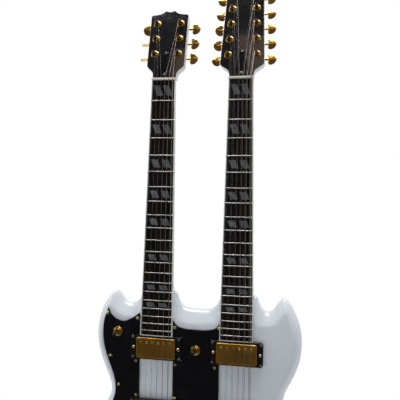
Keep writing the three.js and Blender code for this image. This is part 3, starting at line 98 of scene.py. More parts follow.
def add_node(material, kind, **settings):
    """A shader node, each setting going to its socket of that name or else to the node itself."""
    node = material.node_tree.nodes.new(kind)
    for key, value in settings.items():
        socket = key.replace("_", " ")
        if socket in node.inputs:
            node.inputs[socket].default_value = value
        else:
            setattr(node, key, value)
    return node


def wire_up(material, *links):
    """Joins sockets, each link given as (node, output, node, input)."""
    for source, output, target, entry in links:
        material.node_tree.links.new(source.outputs[output], target.inputs[entry])


def new_material(name, **sockets):
    """A material with one surface shader, whose sockets are set straight on it."""
    material = bpy.data.materials.new(name)
    material.use_nodes = True
    surface = material.node_tree.nodes["Principled BSDF"]
    for socket, value in sockets.items():
        surface.inputs[socket.replace("_", " ")].default_value = value
    return material


def between(material, source, low, high, at_low=0.0, at_high=1.0):
    """Fades smoothly from one value to another while the source goes from low to high."""
    fade = add_node(
        material, "ShaderNodeMapRange", interpolation_type="SMOOTHSTEP",
        From_Min=low, From_Max=high, To_Min=at_low, To_Max=at_high)
    wire_up(material, (*source, fade, "Value"))
    return fade, "Result"


def combine(material, operation, first, second):
    """The product, the larger and so on of two values."""
    result = add_node(material, "ShaderNodeMath", operation=operation)
    wire_up(material, (*first, result, 0), (*second, result, 1))
    return result, 0


def mix_colours(material, share, first, second):
    """Blends two colours, each a fixed colour or a socket."""
    mix = add_node(material, "ShaderNodeMix", data_type="RGBA")
    wire_up(material, (*share, mix, 0))
    for entry, colour in ((6, first), (7, second)):
        if isinstance(colour[0], float):
            mix.inputs[entry].default_value = colour
        else:
            wire_up(material, (*colour, mix, entry))
    return mix, 2


def mix_shaders(material, share, first, second):
    mix = add_node(material, "ShaderNodeMixShader")
    wire_up(material, (*share, mix, 0), (first, 0, mix, 1), (second, 0, mix, 2))
    return mix


floor_mesh = bpy.data.meshes.new("studio_floor")
floor_mesh.from_pydata(
    [(FLOOR_REACH * x, FLOOR_REACH * y, 0) for x, y in ((-1, -1), (1, -1), (1, 1), (-1, 1))],
    [], [(0, 1, 2, 3)])
floor = put_in_scene("studio_floor", floor_mesh)
paper = new_material("studio_paper", Base_Color=(0.7, 0.7, 0.7, 1), Roughness=0.9)
spot_on_floor = add_node(paper, "ShaderNodeNewGeometry")
from_guitar = add_node(paper, "ShaderNodeVectorMath", operation="LENGTH")
floor_axes = add_node(paper, "ShaderNodeSeparateXYZ")
wire_up(paper, (spot_on_floor, "Position", from_guitar, 0), (spot_on_floor, "Position", floor_axes, 0))
floor_ray = add_node(paper, "ShaderNodeLightPath")
# The camera sees the shadow close to the guitar and plain white farther out
faded = combine(
    paper, "MULTIPLY", between(paper, (from_guitar, "Value"), *SHADOW_FADE), (floor_ray, "Is Camera Ray"))
seen_floor = mix_shaders(
    paper, faded, paper.node_tree.nodes["Principled BSDF"], add_node(paper, "ShaderNodeEmission"))
# Polished pieces mirror a floor that is white behind the guitar and dark before it
mirrored_floor = add_node(paper, "ShaderNodeEmission")
wire_up(paper, (*between(paper, (floor_axes, "Y"), *FLOOR_DARKENS, DARK_END), mirrored_floor, "Strength"))
whole_floor = mix_shaders(paper, (floor_ray, "Is Glossy Ray"), seen_floor, mirrored_floor)
wire_up(paper, (whole_floor, 0, paper.node_tree.nodes["Material Output"], "Surface"))
floor_mesh.materials.append(paper)

for lamp_name, spot, aim, watts, width, height in LAMPS:
    softbox = bpy.data.lights.new(lamp_name, "AREA")
    softbox.shape = "RECTANGLE"
    softbox.energy = watts
    softbox.size = width
    softbox.size_y = height
    lamp = put_in_scene(lamp_name, softbox)
    lamp.location = spot
    lamp.rotation_euler = (Vector(aim) - lamp.location).to_track_quat("-Z", "Y").to_euler()

room = bpy.data.worlds.new("studio_room")
room.use_nodes = True
bpy.context.scene.world = room
direction = add_node(room, "ShaderNodeTexCoord")
axes = add_node(room, "ShaderNodeSeparateXYZ")
wire_up(room, (direction, "Generated", axes, 0))
ray = add_node(room, "ShaderNodeLightPath")
# Dull surfaces are lit softly, more from above than from the front
daylight = combine(
    room, "MULTIPLY", between(room, (axes, "Z"), *SKY_RISES),
    between(room, (axes, "Y"), *SKY_DARKENS_IN_FRONT))
daylight = mix_colours(room, daylight, (0.0, 0.0, 0.0, 1.0), SKY)
# Polished ones mirror white, the dark end of the room, and a brown wall high up in it
dark_end = between(room, (axes, "Y"), *ROOM_DARKENS, DARK_END)
wall = between(room, (axes, "Z"), *WALL_FOOT)
for axis, fade in (("Z", WALL_TOP), ("X", WALL_SIDE), ("Y", WALL_IN_FRONT)):
    wall = combine(room, "MULTIPLY", wall, between(room, (axes, axis), *fade))
mirrored_room = mix_colours(room, wall, dark_end, BROWN_WALL)
polished = combine(room, "MAXIMUM", (ray, "Is Glossy Ray"), (ray, "Is Transmission Ray"))
unseen_room = mix_colours(room, polished, daylight, mirrored_room)
whole_room = mix_colours(room, (ray, "Is Camera Ray"), unseen_room, WHITE)
wire_up(room, (*whole_room, room.node_tree.nodes["Background"], "Color"))
bpy.context.scene.view_settings.view_transform = "Standard"


# Body: one slab of mahogany, bandsawn to the double-horned outline, with a broad bevel run
# round both faces, then filled, sprayed and rubbed out in thick white lacquer.

FACE = -0.019
BACK = 0.019
BODY_BOTTOM = 0.0133
BODY_WIDTH = 0.406
BODY_LENGTH = 0.386
BEVEL = 0.012
NECK_X = 0.07
SHOULDER_HALF = 0.031
SHOULDER_FLARE = 0.007
SHOULDER_FALL = 0.017
SHOULDER_SCOOP = 0.037
SHOULDER_DRAW = 0.003
SHOULDER_CROWN = 0.0005
HORN_START = NECK_X + SHOULDER_HALF + SHOULDER_FLARE
HORN_ROOM = BODY_WIDTH / 2 - HORN_START
HEEL_Z = 0.39965
SHOULDER_TOP = HEEL_Z - 0.001
SOFT_FACE = 0.003
SOFT_FACE_EDGE = 0.3
SOFT_RIM = 0.69
RIM_WALL = 0.0068
OUTLINE_STEPS = 9
WELD = 1e-7
NOISE_RANGE = (0.32, 0.68)

# Rim x and z as shares, then the way from the rim in to the face in bevel widths
RIGHT_SIDE = [
    (0, 0, 0, 1), (0.185, 0.003, -0.1, 1), (0.32, 0.021, -0.3, 0.95), (0.419, 0.065, -0.7, 0.7),
    (0.48, 0.132, -0.95, 0.3), (0.5, 0.215, -1, 0), (0.483, 0.295, -0.95, -0.3),
    (0.438, 0.365, -0.85, -0.5), (0.387, 0.435, -0.9, -0.4), (0.362, 0.508, -1, 0),
    (0.369, 0.575, -1, 0.3), (0.399, 0.642, -1, 0.4), (0.426, 0.715, -1, 0.2), (0.436, 0.793, -1, 0)]
RIGHT_HORN = [
    (0.697, 0.87, -1.1, -0.2), (0.611, 0.93, -0.92, -0.75), (0.504, 0.977, -0.38, -1.35),
    (0.402, 1, 0.25, -1.83), (0.303, 0.979, 0.58, -1.83), (0.222, 0.948, 0.35, -1.8),
    (0.115, 0.935, 0.1, -1.7)]
MIDDLE_CUTAWAY = [(0.744, 0.937, 0, -1.9), (0, 0.93, 0, -1.9), (-0.744, 0.937, 0, -1.9)]
LEFT_HORN = [
    (0.115, 0.943, 0, -1.75), (0.209, 0.948, -0.2, -1.8), (0.295, 0.966, -0.5, -2),
    (0.359, 0.987, -0.8, -2), (0.432, 1, -0.7, -2.1), (0.538, 0.977, 0.1, -1.5),
    (0.654, 0.935, 0.8, -0.9), (0.735, 0.886, 1, -0.4)]
LEFT_SIDE = [
    (-0.451, 0.806, 1, 0), (-0.446, 0.741, 1, 0.1), (-0.429, 0.674, 1, 0.4), (-0.406, 0.617, 1, 0.3),
    (-0.387, 0.565, 1, 0.1), (-0.387, 0.523, 1, -0.1), (-0.409, 0.472, 0.9, -0.4),
    (-0.448, 0.399, 0.85, -0.5), (-0.483, 0.316, 0.95, -0.3), (-0.5, 0.228, 1, 0),
    (-0.488, 0.14, 0.95, 0.3), (-0.433, 0.065, 0.7, 0.7), (-0.333, 0.021, 0.3, 0.95),
    (-0.192, 0.003, 0.1, 1)]


def along_body(share):
    """The height of a point at that share of the body's length."""
    return BODY_BOTTOM + share * BODY_LENGTH


def rim_and_face(rows, width, start=0.0, side=1):
    """Pairs of points on the rim and on the flat face; side -1 sets them left of the middle."""
    pairs = []
    for x, z, face_x, face_z in rows:
        rim = Vector((side * (start + x * width), along_body(z)))
        pairs.append((rim, rim + BEVEL * Vector((face_x, face_z))))
    return pairs


def shoulder(neck_x):
    """The rise of the body beside a neck, scooped out in front, from its right flank to its left."""
    flank = [(SHOULDER_HALF + SHOULDER_FLARE * out, SHOULDER_FALL * fall)
             for out, fall in ((0, 0), (0.25, 0.33), (1, 1))]

    def pair(side, out, fall):
        rim = Vector((neck_x + side * out, SHOULDER_TOP - fall))
        return rim, Vector((neck_x + side * (out - SHOULDER_DRAW), SHOULDER_TOP - SHOULDER_SCOOP - fall / 2))

    middle = (Vector((neck_x, SHOULDER_TOP + SHOULDER_CROWN)),
              Vector((neck_x, SHOULDER_TOP - SHOULDER_SCOOP + SHOULDER_CROWN / 2)))
    return [pair(1, *spot) for spot in reversed(flank)] + [middle] + [pair(-1, *spot) for spot in flank]


def spline(points, steps, closed=False):
    """A smooth line through the points, tight where they lie close together."""
    points = [Vector(p) for p in points]
    count = len(points)
    if closed:
        around = [points[-1]] + points + points[:2]
    else:
        around = [2 * points[0] - points[1]] + points + [2 * points[-1] - points[-2]]
    line = []
    for k in range(count if closed else count - 1):
        a, b, c, d = around[k:k + 4]
        ab, bc, cd = (max((q - p).length, 1e-9) ** 0.5 for p, q in ((a, b), (b, c), (c, d)))
        start = ((b - a) / ab - (c - a) / (ab + bc) + (c - b) / bc) * bc
        end = ((c - b) / bc - (d - b) / (bc + cd) + (d - c) / cd) * bc
        for step in range(steps):
            t = step / steps
            line.append(b + start * t + (3 * (c - b) - 2 * start - end) * t ** 2
                        + (2 * (b - c) + start + end) * t ** 3)
    return line if closed else line + [points[-1]]


def rounding(start, corner, end, steps=4):
    """Points of a soft corner from start to end, pulled towards the corner."""
    return [(1 - t) ** 2 * start + 2 * t * (1 - t) * corner + t ** 2 * end
            for t in (k / steps for k in range(steps + 1))]


def loft(rings, ends=True):
    """A skin through rings of equally many points, with flat ends."""
    count = len(rings[0])
    faces = []
    for ring in range(len(rings) - 1):
        for k in range(count):
            a, b = ring * count + k, ring * count + (k + 1) % count
            faces.append((a, b, b + count, a + count))
    if ends:
        faces.append(tuple(range(count)))
        faces.append(tuple(range((len(rings) - 1) * count, len(rings) * count)))
    return [Vector(p) for ring in rings for p in ring], faces


def make(name, shape, material, matrix=None, crease=40):
    """One object of that shape: welded, faces out, smooth except at creases sharper than the angle."""
    mesh = bpy.data.meshes.new(name)
    mesh.from_pydata([tuple(p) for p in shape[0]], [], shape[1])
    bare = bmesh.new()
    bare.from_mesh(mesh)
    bmesh.ops.remove_doubles(bare, verts=bare.verts, dist=WELD)
    bmesh.ops.dissolve_degenerate(bare, edges=bare.edges, dist=WELD / 10)
    bmesh.ops.recalc_face_normals(bare, faces=bare.faces)
    bare.to_mesh(mesh)
    bare.free()
    if matrix is not None:
        mesh.transform(matrix)
    mesh.shade_smooth()
    mesh.set_sharp_from_angle(angle=math.radians(crease))
    mesh.materials.append(material)
    return put_in_scene(name, mesh)


def wander(material, scale, detail, stretch):
    """A noise that lies still on the piece; a stretch below 1 draws it out along that axis."""
    coordinates = add_node(material, "ShaderNodeTexCoord")
    fit = add_node(material, "ShaderNodeMapping", Scale=stretch)
    noise = add_node(material, "ShaderNodeTexNoise", Scale=scale, Detail=detail)
    wire_up(material, (coordinates, "Object", fit, 0), (fit, 0, noise, "Vector"))
    return noise


def vary(material, socket, scale, low, high, detail=4.0, stretch=(1, 1, 1)):
    """Lets a shader socket wander between two values or colours."""
    ramp = add_node(material, "ShaderNodeValToRGB")
    for element, value, place in zip(ramp.color_ramp.elements, (low, high), NOISE_RANGE):
        element.color = (*value, 1) if isinstance(value, tuple) else (value, value, value, 1)
        element.position = place
    wire_up(
        material, (wander(material, scale, detail, stretch), 0, ramp, 0),
        (ramp, 0, material.node_tree.nodes["Principled BSDF"], socket))


def roughen(material, scale, strength, depth, detail=3.0, stretch=(1, 1, 1)):
    """Adds fine relief."""
    bump = add_node(material, "ShaderNodeBump", Strength=strength, Distance=depth)
    wire_up(
        material, (wander(material, scale, detail, stretch), 0, bump, "Height"),
        (bump, 0, material.node_tree.nodes["Principled BSDF"], "Normal"))


def finish(name, tint=None, sheen=None, relief=None, **sockets):
    """A material that is nowhere quite even. tint and sheen give the scale on which colour and
    roughness wander, and between what, and relief gives a scale, a strength and a depth."""
    material = new_material(name, **sockets)
    if tint:
        vary(material, "Base Color", *tint)
    if sheen:
        vary(material, "Roughness", *sheen)
    if relief:
        roughen(material, *relief)
    return material


white_lacquer = finish(
    "white_lacquer", tint=(7, (0.63, 0.65, 0.675), (0.67, 0.685, 0.705)), sheen=(55, 0.10, 0.24),
    relief=(420, 0.05, 0.0002), Coat_Weight=0.35, Coat_Roughness=0.03, Specular_IOR_Level=0.4)

body_outline = (
    rim_and_face(RIGHT_SIDE, BODY_WIDTH) + rim_and_face(RIGHT_HORN, HORN_ROOM, HORN_START)
    + shoulder(NECK_X) + rim_and_face(MIDDLE_CUTAWAY, NECK_X - SHOULDER_HALF - SHOULDER_FLARE)
    + shoulder(-NECK_X) + rim_and_face(LEFT_HORN, HORN_ROOM, HORN_START, side=-1)
    + rim_and_face(LEFT_SIDE, BODY_WIDTH))
rim_line, face_line = (spline(line, OUTLINE_STEPS, closed=True) for line in zip(*body_outline))
sections = []
for rim, face in zip(rim_line, face_line):
    edge = Vector((face.x, FACE, face.y))
    side = Vector((rim.x, FACE + BEVEL, rim.y))
    bevel = side - edge
    inward = Vector((face.x - rim.x, 0, face.y - rim.y)).normalized()
    front_half = (
        rounding(edge + inward * SOFT_FACE, edge, edge + bevel * SOFT_FACE_EDGE)
        + rounding(side - bevel * SOFT_RIM, side, side + Vector((0, RIM_WALL, 0)), 8))
    sections.append(front_half + [Vector((p.x, -p.y, p.z)) for p in reversed(front_half)])
body = make("body_shell", loft(list(zip(*sections))), white_lacquer, crease=28)
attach(body, "instrument")
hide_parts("body")


# Necks: mahogany, carved round behind and glued into the body by a long tenon under a square heel.
# The headstock is one with the neck, bent back by 13 degrees, and lacquered with it.

# Neighbouring pieces stand this far apart, and sawn edges are rubbed this soft
GAP = 0.0003
SAWN_EDGE = 0.0003
SCALE = 0.6286
BRIDGE_Z = 0.1373
STRINGS_OVER_FACE = 0.0197
TILT = math.radians(2.5)
TOE = math.radians(0.25)
BOARD_END = 0.1886
BOARD_END_WIDTH = 0.057
NUT_FAR = 0.6331
NUT_WIDTH = 0.0415
# Sections of the neck: how far its flat top lies behind the strings, its depth, and how square it is
SHAFT = (0.0089, 0.0145, 2.3)
VOLUTE = (0.01082, 0.015, 2.6)
VOLUTE_OVER_NUT = 0.017
VOLUTE_LENGTH = 0.0215
VOLUTE_STEPS = 4
HEEL = 0.2626
HEEL_CURVE = 0.042
HEEL_ROWS = (  # from the shaft down: share of the curve's length, depth, and how square
    (1, 0.0175, 2.3), (0.62, 0.0180, 2.5), (0.36, 0.0196, 3), (0.16, 0.0224, 4), (0.05, 0.0244, 5),
    (0, 0.025, 6))
TENON = (0.052, 0.023, 0.076)
TENON_FOOT = BOARD_END + 0.002
HEAD_TILT = math.radians(13)
HEAD_SETBACK = 0.0069
HEAD_THICKNESS = 0.015
HEAD_SOFT = 0.0022
VENEER = 0.0006
FLARE_LENGTH = 0.024
TOP_RISE = 0.008
TOP_CORNER = 0.003
TUNER_PITCH = 0.0291
OVER_LAST_TUNER = 0.026
NECKS = {
    "6": {"x": -NECK_X, "rows": 3, "first_row": 0.0455, "flare": 0.0334, "top": 0.034},
    "12": {"x": NECK_X, "rows": 6, "first_row": 0.0403, "flare": 0.038, "top": 0.0305},
}


def about(axis, angle):
    """A turn about one of the axes."""
    return Matrix.Rotation(angle, 4, axis)


def neck_place(neck):
    """The plane of a neck's strings: z from the bridge, y towards the back."""
    return (
        Matrix.Translation((neck["x"], FACE - STRINGS_OVER_FACE, BRIDGE_Z))
        @ about("X", -TILT) @ about("Y", -math.copysign(TOE, neck["x"])))


def head_place(neck):
    """The face of a headstock: z from its lower end at the nut, y towards the back."""
    at_nut = Matrix.Translation((0, HEAD_SETBACK, NUT_FAR + GAP))
    return neck_place(neck) @ at_nut @ about("X", -HEAD_TILT)


def board_half(z):
    return (NUT_WIDTH + (BOARD_END_WIDTH - NUT_WIDTH) * (SCALE - z) / (SCALE - BOARD_END)) / 2


def head_length(neck):
    return neck["first_row"] + (neck["rows"] - 1) * TUNER_PITCH + OVER_LAST_TUNER


def head_half(neck, z):
    share = (z - FLARE_LENGTH) / (head_length(neck) - TOP_RISE - FLARE_LENGTH)
    return neck["flare"] + (neck["top"] - neck["flare"]) * share


def head_outline(neck):
    """The headstock's outline as (x, z), from its lower right corner round to its lower left."""
    length, flare, top = head_length(neck), neck["flare"], neck["top"]
    foot = NUT_WIDTH / 2
    cheek = spline([
        (foot + (flare - foot) * out, FLARE_LENGTH * up)
        for out, up in ((0, 0), (0.12, 0.45), (0.5, 0.68), (0.86, 0.86), (1, 1))], 5)
    wave = spline([
        (top * across, length - TOP_RISE * (1 - up))
        for across, up in ((1, 0), (0.6, 0.2), (0.42, 0.45), (0.24, 1), (0.1, 0.85), (0, 0.75))], 4)
    corner = wave[0]
    before = corner - Vector((0, TOP_CORNER))
    after = corner + (wave[1] - corner).normalized() * TOP_CORNER
    right = cheek + rounding(before, corner, after) + [p for p in wave[1:] if p.x < after.x]
    return right + [Vector((-p.x, p.y)) for p in reversed(right[:-1])]


def inset(outline, distance):
    """The outline drawn in by a distance, or let out by a negative one."""
    following = outline[1:] + outline[:1]
    area = sum(p.x * q.y - q.x * p.y for p, q in zip(outline, following))
    drawn = []
    for last, p, q in zip(outline[-1:] + outline[:-1], outline, following):
        ways = (p - last).normalized(), (q - p).normalized()
        a, b = (Vector((-way.y, way.x)) * math.copysign(1, area) for way in ways)
        drawn.append(p + (a + b) * distance / max(1 + a.dot(b), 0.4))
    return drawn


def slab(outline, front, back, front_round=0.0, back_round=0.0, steps=3):
    """A flat piece with rounded edges: outline in x and z, front and back given as y."""
    angles = [math.pi / 2 * k / steps for k in range(steps + 1)]
    levels = [(front_round * (1 - math.sin(a)), front + front_round * (1 - math.cos(a))) for a in angles]
    levels += [(back_round * (1 - math.cos(a)), back - back_round * (1 - math.sin(a))) for a in angles]
    rings = []
    for draw, y in levels:
        ring = [(p.x, y, p.y) for p in (inset(outline, draw) if draw else outline)]
        if not rings or ring != rings[-1]:
            rings.append(ring)
    return loft(rings)


def half_round(z, half, top, depth, power, steps=28):
    """A neck's section: flat on top and round below, with squarer corners at a higher power."""
    ring = []
    for k in range(steps + 1):
        angle = math.pi * k / steps
        across = math.copysign(abs(math.cos(angle)) ** (2 / power), math.cos(angle))
        down = depth * math.sin(angle) ** (2 / power) if 0 < k < steps else 0
        ring.append((half * across, top + down, z))
    return ring


def rounded_rectangle(width, height, corner, steps=5):
    outline = []
    for quarter, (side, rise) in enumerate(((1, 1), (-1, 1), (-1, -1), (1, -1))):
        for k in range(steps + 1):
            angle = (quarter + k / steps) * math.pi / 2
            outline.append(Vector((
                side * (width / 2 - corner) + corner * math.cos(angle),
                rise * (height / 2 - corner) + corner * math.sin(angle))))
    return outline


def block(width, depth, height, soft=0.0, corner=None):
    """A block about its middle, its upright edges and its front and back edges rounded."""
    outline = rounded_rectangle(width, height, soft if corner is None else corner)
    return slab(outline, -depth / 2, depth / 2, soft, soft)


def together(*shapes):
    """Several shapes as one."""
    points, faces = [], []
    for more, others in shapes:
        start = len(points)
        points.extend(more)
        faces.extend(tuple(start + k for k in face) for face in others)
    return points, faces


def moved(shape, x=0.0, y=0.0, z=0.0, turn=None):
    """A copy of the shape, turned first and then moved."""
    matrix = Matrix.Translation((x, y, z)) @ (turn or Matrix.Identity(4))
    return [matrix @ Vector(p) for p in shape[0]], shape[1]


heel_rows = spline([(share * HEEL_CURVE, depth, power) for share, depth, power in HEEL_ROWS], 5)
for label, neck in NECKS.items():
    shaft = []
    for k in range(VOLUTE_STEPS + 1):
        share = (1 - math.cos(math.pi * k / VOLUTE_STEPS)) / 2
        top, depth, power = (a + (b - a) * share for a, b in zip(VOLUTE, SHAFT))
        z = NUT_FAR + VOLUTE_OVER_NUT - VOLUTE_LENGTH * k / VOLUTE_STEPS
        shaft.append(half_round(z, NUT_WIDTH / 2, top, depth, power))
    for rise, depth, power in heel_rows:
        shaft.append(half_round(HEEL + rise, board_half(HEEL + rise), SHAFT[0], depth, power))
    tenon = moved(block(*TENON, SAWN_EDGE), y=SHAFT[0] + TENON[1] / 2, z=(HEEL + TENON_FOOT) / 2)
    head = slab(head_outline(neck), VENEER, HEAD_THICKNESS, SAWN_EDGE, HEAD_SOFT, 4)
    into_neck = neck_place(neck).inverted() @ head_place(neck)
    wood = make(
        f"neck_{label}_wood", together(loft(shaft), tenon, moved(head, turn=into_neck)),
        white_lacquer, neck_place(neck), crease=32)
    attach(wood, "instrument")
    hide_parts(f"neck_{label}")


# Headstock faces: a thin black veneer glued over the front, sprayed gloss black up to the edge,
# with the dust specks and faint polishing swirls of a hand-finished panel.

VENEER_DRAW = 0.0004
VENEER_SOFT = 0.0002

black_face = finish(
    "black_face", tint=(40, (0.0035, 0.0033, 0.0038), (0.009, 0.008, 0.0085), 8), sheen=(90, 0.07, 0.16),
    relief=(500, 0.04, 0.0002), Specular_IOR_Level=0.4, Coat_Weight=0.8, Coat_Roughness=0.04)
for label, neck in NECKS.items():
    veneer = slab(inset(head_outline(neck), VENEER_DRAW), 0, VENEER, VENEER_SOFT)
    veneer = make(f"neck_{label}_face", veneer, black_face, head_place(neck))
    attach(veneer, "instrument")


# Truss rods: a square steel rod let into a channel under each fretboard, with a hexagon nut
# in the pocket of the headstock. Both stay as the solids, hidden by board and cover.

plain_steel = finish(
    "plain_steel", tint=(60, (0.30, 0.30, 0.31), (0.48, 0.47, 0.46), 6, (1, 1, 0.1)),
    sheen=(150, 0.3, 0.5, 4, (1, 1, 0.1)), relief=(600, 0.1, 0.0001, 3, (1, 1, 0.05)), Metallic=1.0)


def coat(node, material):
    """Gives a solid that stays in view its own finish."""
    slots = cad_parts[node].data.materials
    slots.clear()
    slots.append(material)


for label in NECKS:
    coat(f"truss_rod_{label}", plain_steel)


# Fretboards: near-black oiled wood, its top turned to a 305 mm radius, edged with white binding
# that is glued on and scraped flush. Twenty slots are sawn for the frets.

STRING_TO_BOARD = 0.0026
BOARD_BOTTOM = 0.0086
BOARD_RADIUS = 0.305
BOARD_FAR = SCALE - GAP
BOARD_STEPS = 20
BINDING = 0.0016
BINDING_SOFT = 0.0005
BINDING_SHOULDER = 0.0001
END_SOFT = 0.0004
FRETS = 20
OCTAVE = 12


def crown(x, height=0.0):
    """How far behind the strings the round top of the board lies, less a height over it."""
    return STRING_TO_BOARD + BOARD_RADIUS - math.sqrt(BOARD_RADIUS ** 2 - x ** 2) - height


def fret_z(number):
    return SCALE * 2 ** (-number / OCTAVE)


def across(half):
    """Evenly spaced places over the width of the board."""
    return [half * (1 - 2 * k / BOARD_STEPS) for k in range(BOARD_STEPS + 1)]


board_wood = finish(
    "board_wood", tint=(160, (0.0035, 0.0028, 0.0026), (0.013, 0.0095, 0.0078), 8, (1, 1, 0.06)),
    sheen=(220, 0.42, 0.62, 4, (1, 1, 0.08)), relief=(900, 0.25, 0.0002, 5, (1, 1, 0.05)),
    Specular_IOR_Level=0.05)
white_binding = finish(
    "white_binding", tint=(30, (0.52, 0.50, 0.45), (0.60, 0.59, 0.55), 3, (1, 1, 0.15)),
    sheen=(120, 0.3, 0.45), relief=(500, 0.05, 0.0001), Coat_Weight=0.2, Coat_Roughness=0.2)
for label, neck in NECKS.items():
    rings = []
    for z in (BOARD_END + BINDING, BOARD_FAR):
        half = board_half(z) - BINDING
        top = [(x, crown(x), z) for x in across(half)]
        rings.append(top + [(-half, BOARD_BOTTOM, z), (half, BOARD_BOTTOM, z)])
    board = make(f"board_{label}", loft(rings), board_wood, neck_place(neck), crease=25)
    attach(board, "instrument")
    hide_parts(f"fretboard_{label}")

    strips = []
    for side in (-1, 1):
        rings = []
        for z in (BOARD_END, BOARD_FAR):
            outer, inner = board_half(z), board_half(z) - BINDING
            rings.append([(side * x, y, z) for x, y in (
                (inner, crown(inner)), (outer - BINDING_SOFT, crown(outer - BINDING_SOFT)),
                (outer - BINDING_SHOULDER, crown(outer) + BINDING_SHOULDER),
                (outer, crown(outer) + BINDING_SOFT), (outer, BOARD_BOTTOM), (inner, BOARD_BOTTOM))])
        strips.append(loft(rings))
    end = [[(x, y, BOARD_END + z) for y, z in (
        (crown(x), BINDING), (crown(x), END_SOFT), (crown(x) + END_SOFT, 0), (BOARD_BOTTOM, 0),
        (BOARD_BOTTOM, BINDING))] for x in across(board_half(BOARD_END) - BINDING)]
    binding = make(
        f"binding_{label}", together(*strips, loft(end)), white_binding, neck_place(neck), crease=30)
    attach(binding, "instrument")


# Frets: nickel-silver wire with a round crown, hammered into the slots, cut off flush with
# the binding and filed to a slant at both ends.

FRET_WIDTH = 0.0022
FRET_HEIGHT = 0.0011
FRET_INTO_BOARD = 0.0006
FRET_SHORT = 0.0005
FRET_SLANT = 0.0012
FILED_HEIGHT = 0.1
FRET_STEPS = 5
CROWN_STEPS = 8

nickel_silver = finish(
    "nickel_silver", tint=(90, (0.28, 0.27, 0.255), (0.48, 0.465, 0.44), 5), sheen=(240, 0.22, 0.42),
    relief=(1500, 0.08, 0.0001, 3, (0.1, 1, 1)), Metallic=1.0)
for label, neck in NECKS.items():
    wires = []
    for number in range(1, FRETS + 1):
        z = fret_z(number)
        half = board_half(z) - FRET_SHORT
        stations = [(-half, FILED_HEIGHT), (-half + FRET_SLANT, 1)]
        stations += [(half * k / FRET_STEPS, 1) for k in range(1 - FRET_STEPS, FRET_STEPS)]
        stations += [(half - FRET_SLANT, 1), (half, FILED_HEIGHT)]
        rings = []
        for x, share in stations:
            ring = []
            for k in range(CROWN_STEPS + 1):
                angle = math.pi * k / CROWN_STEPS
                height = FRET_HEIGHT * share * math.sin(angle)
                ring.append((x, crown(x, height), z - FRET_WIDTH / 2 * math.cos(angle)))
            under = crown(x, -FRET_INTO_BOARD)
            rings.append(ring + [(x, under, z + FRET_WIDTH / 2), (x, under, z - FRET_WIDTH / 2)])
        wires.append(loft(rings))
    fret_wire = make(f"frets_{label}", together(*wires), nickel_silver, neck_place(neck), crease=50)
    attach(fret_wire, "instrument")


# Inlays: pairs of slanted pearl-grey plates let into the board and sanded flush with it,
# and black dots along the binding on the player's side.

INLAY_FRETS = (1, 3, 5, 7, 9, 12, 15, 17)
INLAY_INNER = 0.15
INLAY_OUTER = 0.65
INLAY_REACH = 0.25
INLAY_SLANT = 0.4
INLAY_PROUD = 0.00006
INLAY_DEPTH = 0.001
INLAY_STEPS = 6
PEARL_LAYERS = ((0.3, (0.05, 0.051, 0.054)), (0.5, (0.092, 0.092, 0.096)), (0.75, (0.16, 0.162, 0.17)))
DOT_FRETS = (3, 5, 7, 9, 12, 12, 15, 17, 19)
DOT_PAIR = 0.004
DOT_RADIUS = 0.0011
DOT_Y = 0.0056
DOT_DEPTH = 0.0005
DOT_PROUD = 0.00005


def circle(radius, count, notch=0.0):
    """Points round a circle, every second one drawn in by the notch."""
    angles = [2 * math.pi * k / count for k in range(count)]
    return [(radius - notch * (k % 2)) * Vector((math.cos(a), math.sin(a))) for k, a in enumerate(angles)]


grey_pearl = finish("grey_pearl", sheen=(200, 0.2, 0.4), Coat_Weight=0.3, Coat_Roughness=0.15)
shell = add_node(grey_pearl, "ShaderNodeTexCoord")
layers = add_node(grey_pearl, "ShaderNodeTexNoise", Scale=110.0, Detail=5.0, Distortion=2.2)
layer_tint = add_node(grey_pearl, "ShaderNodeValToRGB")
layer_tint.color_ramp.elements.new(0.5)
for element, (place, colour) in zip(layer_tint.color_ramp.elements, PEARL_LAYERS):
    element.position = place
    element.color = (*colour, 1)
wire_up(
    grey_pearl, (shell, "Object", layers, "Vector"), (layers, 0, layer_tint, 0),
    (layer_tint, 0, grey_pearl.node_tree.nodes["Principled BSDF"], "Base Color"))
black_dot = finish("black_dot", tint=(800, (0.01, 0.01, 0.01), (0.025, 0.024, 0.023)), Roughness=0.4)
for label, neck in NECKS.items():
    plates, dots = [], []
    for number in INLAY_FRETS:
        low, high = fret_z(number), fret_z(number - 1)
        middle, reach = (low + high) / 2, (high - low) * INLAY_REACH
        half = board_half(middle)
        shift = INLAY_SLANT * reach
        for start, stop in ((-INLAY_OUTER, -INLAY_INNER), (INLAY_INNER, INLAY_OUTER)):
            rings = []
            for k in range(INLAY_STEPS + 1):
                x = half * (start + (stop - start) * k / INLAY_STEPS)
                rings.append([(at, crown(at, height), z) for at, height, z in (
                    (x - shift, INLAY_PROUD, middle + reach), (x + shift, INLAY_PROUD, middle - reach),
                    (x + shift, -INLAY_DEPTH, middle - reach), (x - shift, -INLAY_DEPTH, middle + reach))])
            plates.append(loft(rings))
    for number in DOT_FRETS:
        z = (fret_z(number) + fret_z(number - 1)) / 2
        if number == OCTAVE:
            z += DOT_PAIR if len(dots) % 2 else -DOT_PAIR
        ends = board_half(z) - DOT_DEPTH, board_half(z) + DOT_PROUD
        dots.append(loft([[(x, DOT_Y + p.x, z + p.y) for p in circle(DOT_RADIUS, 16)] for x in ends]))
    inlay = make(f"inlays_{label}", together(*plates), grey_pearl, neck_place(neck), crease=30)
    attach(inlay, "instrument")
    side_dots = make(f"side_dots_{label}", together(*dots), black_dot, neck_place(neck), crease=30)
    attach(side_dots, "instrument")


# Truss rod covers: bell-shaped plates of black plastic over the rod's pocket,
# each held by one small screw near the top and one at the foot.

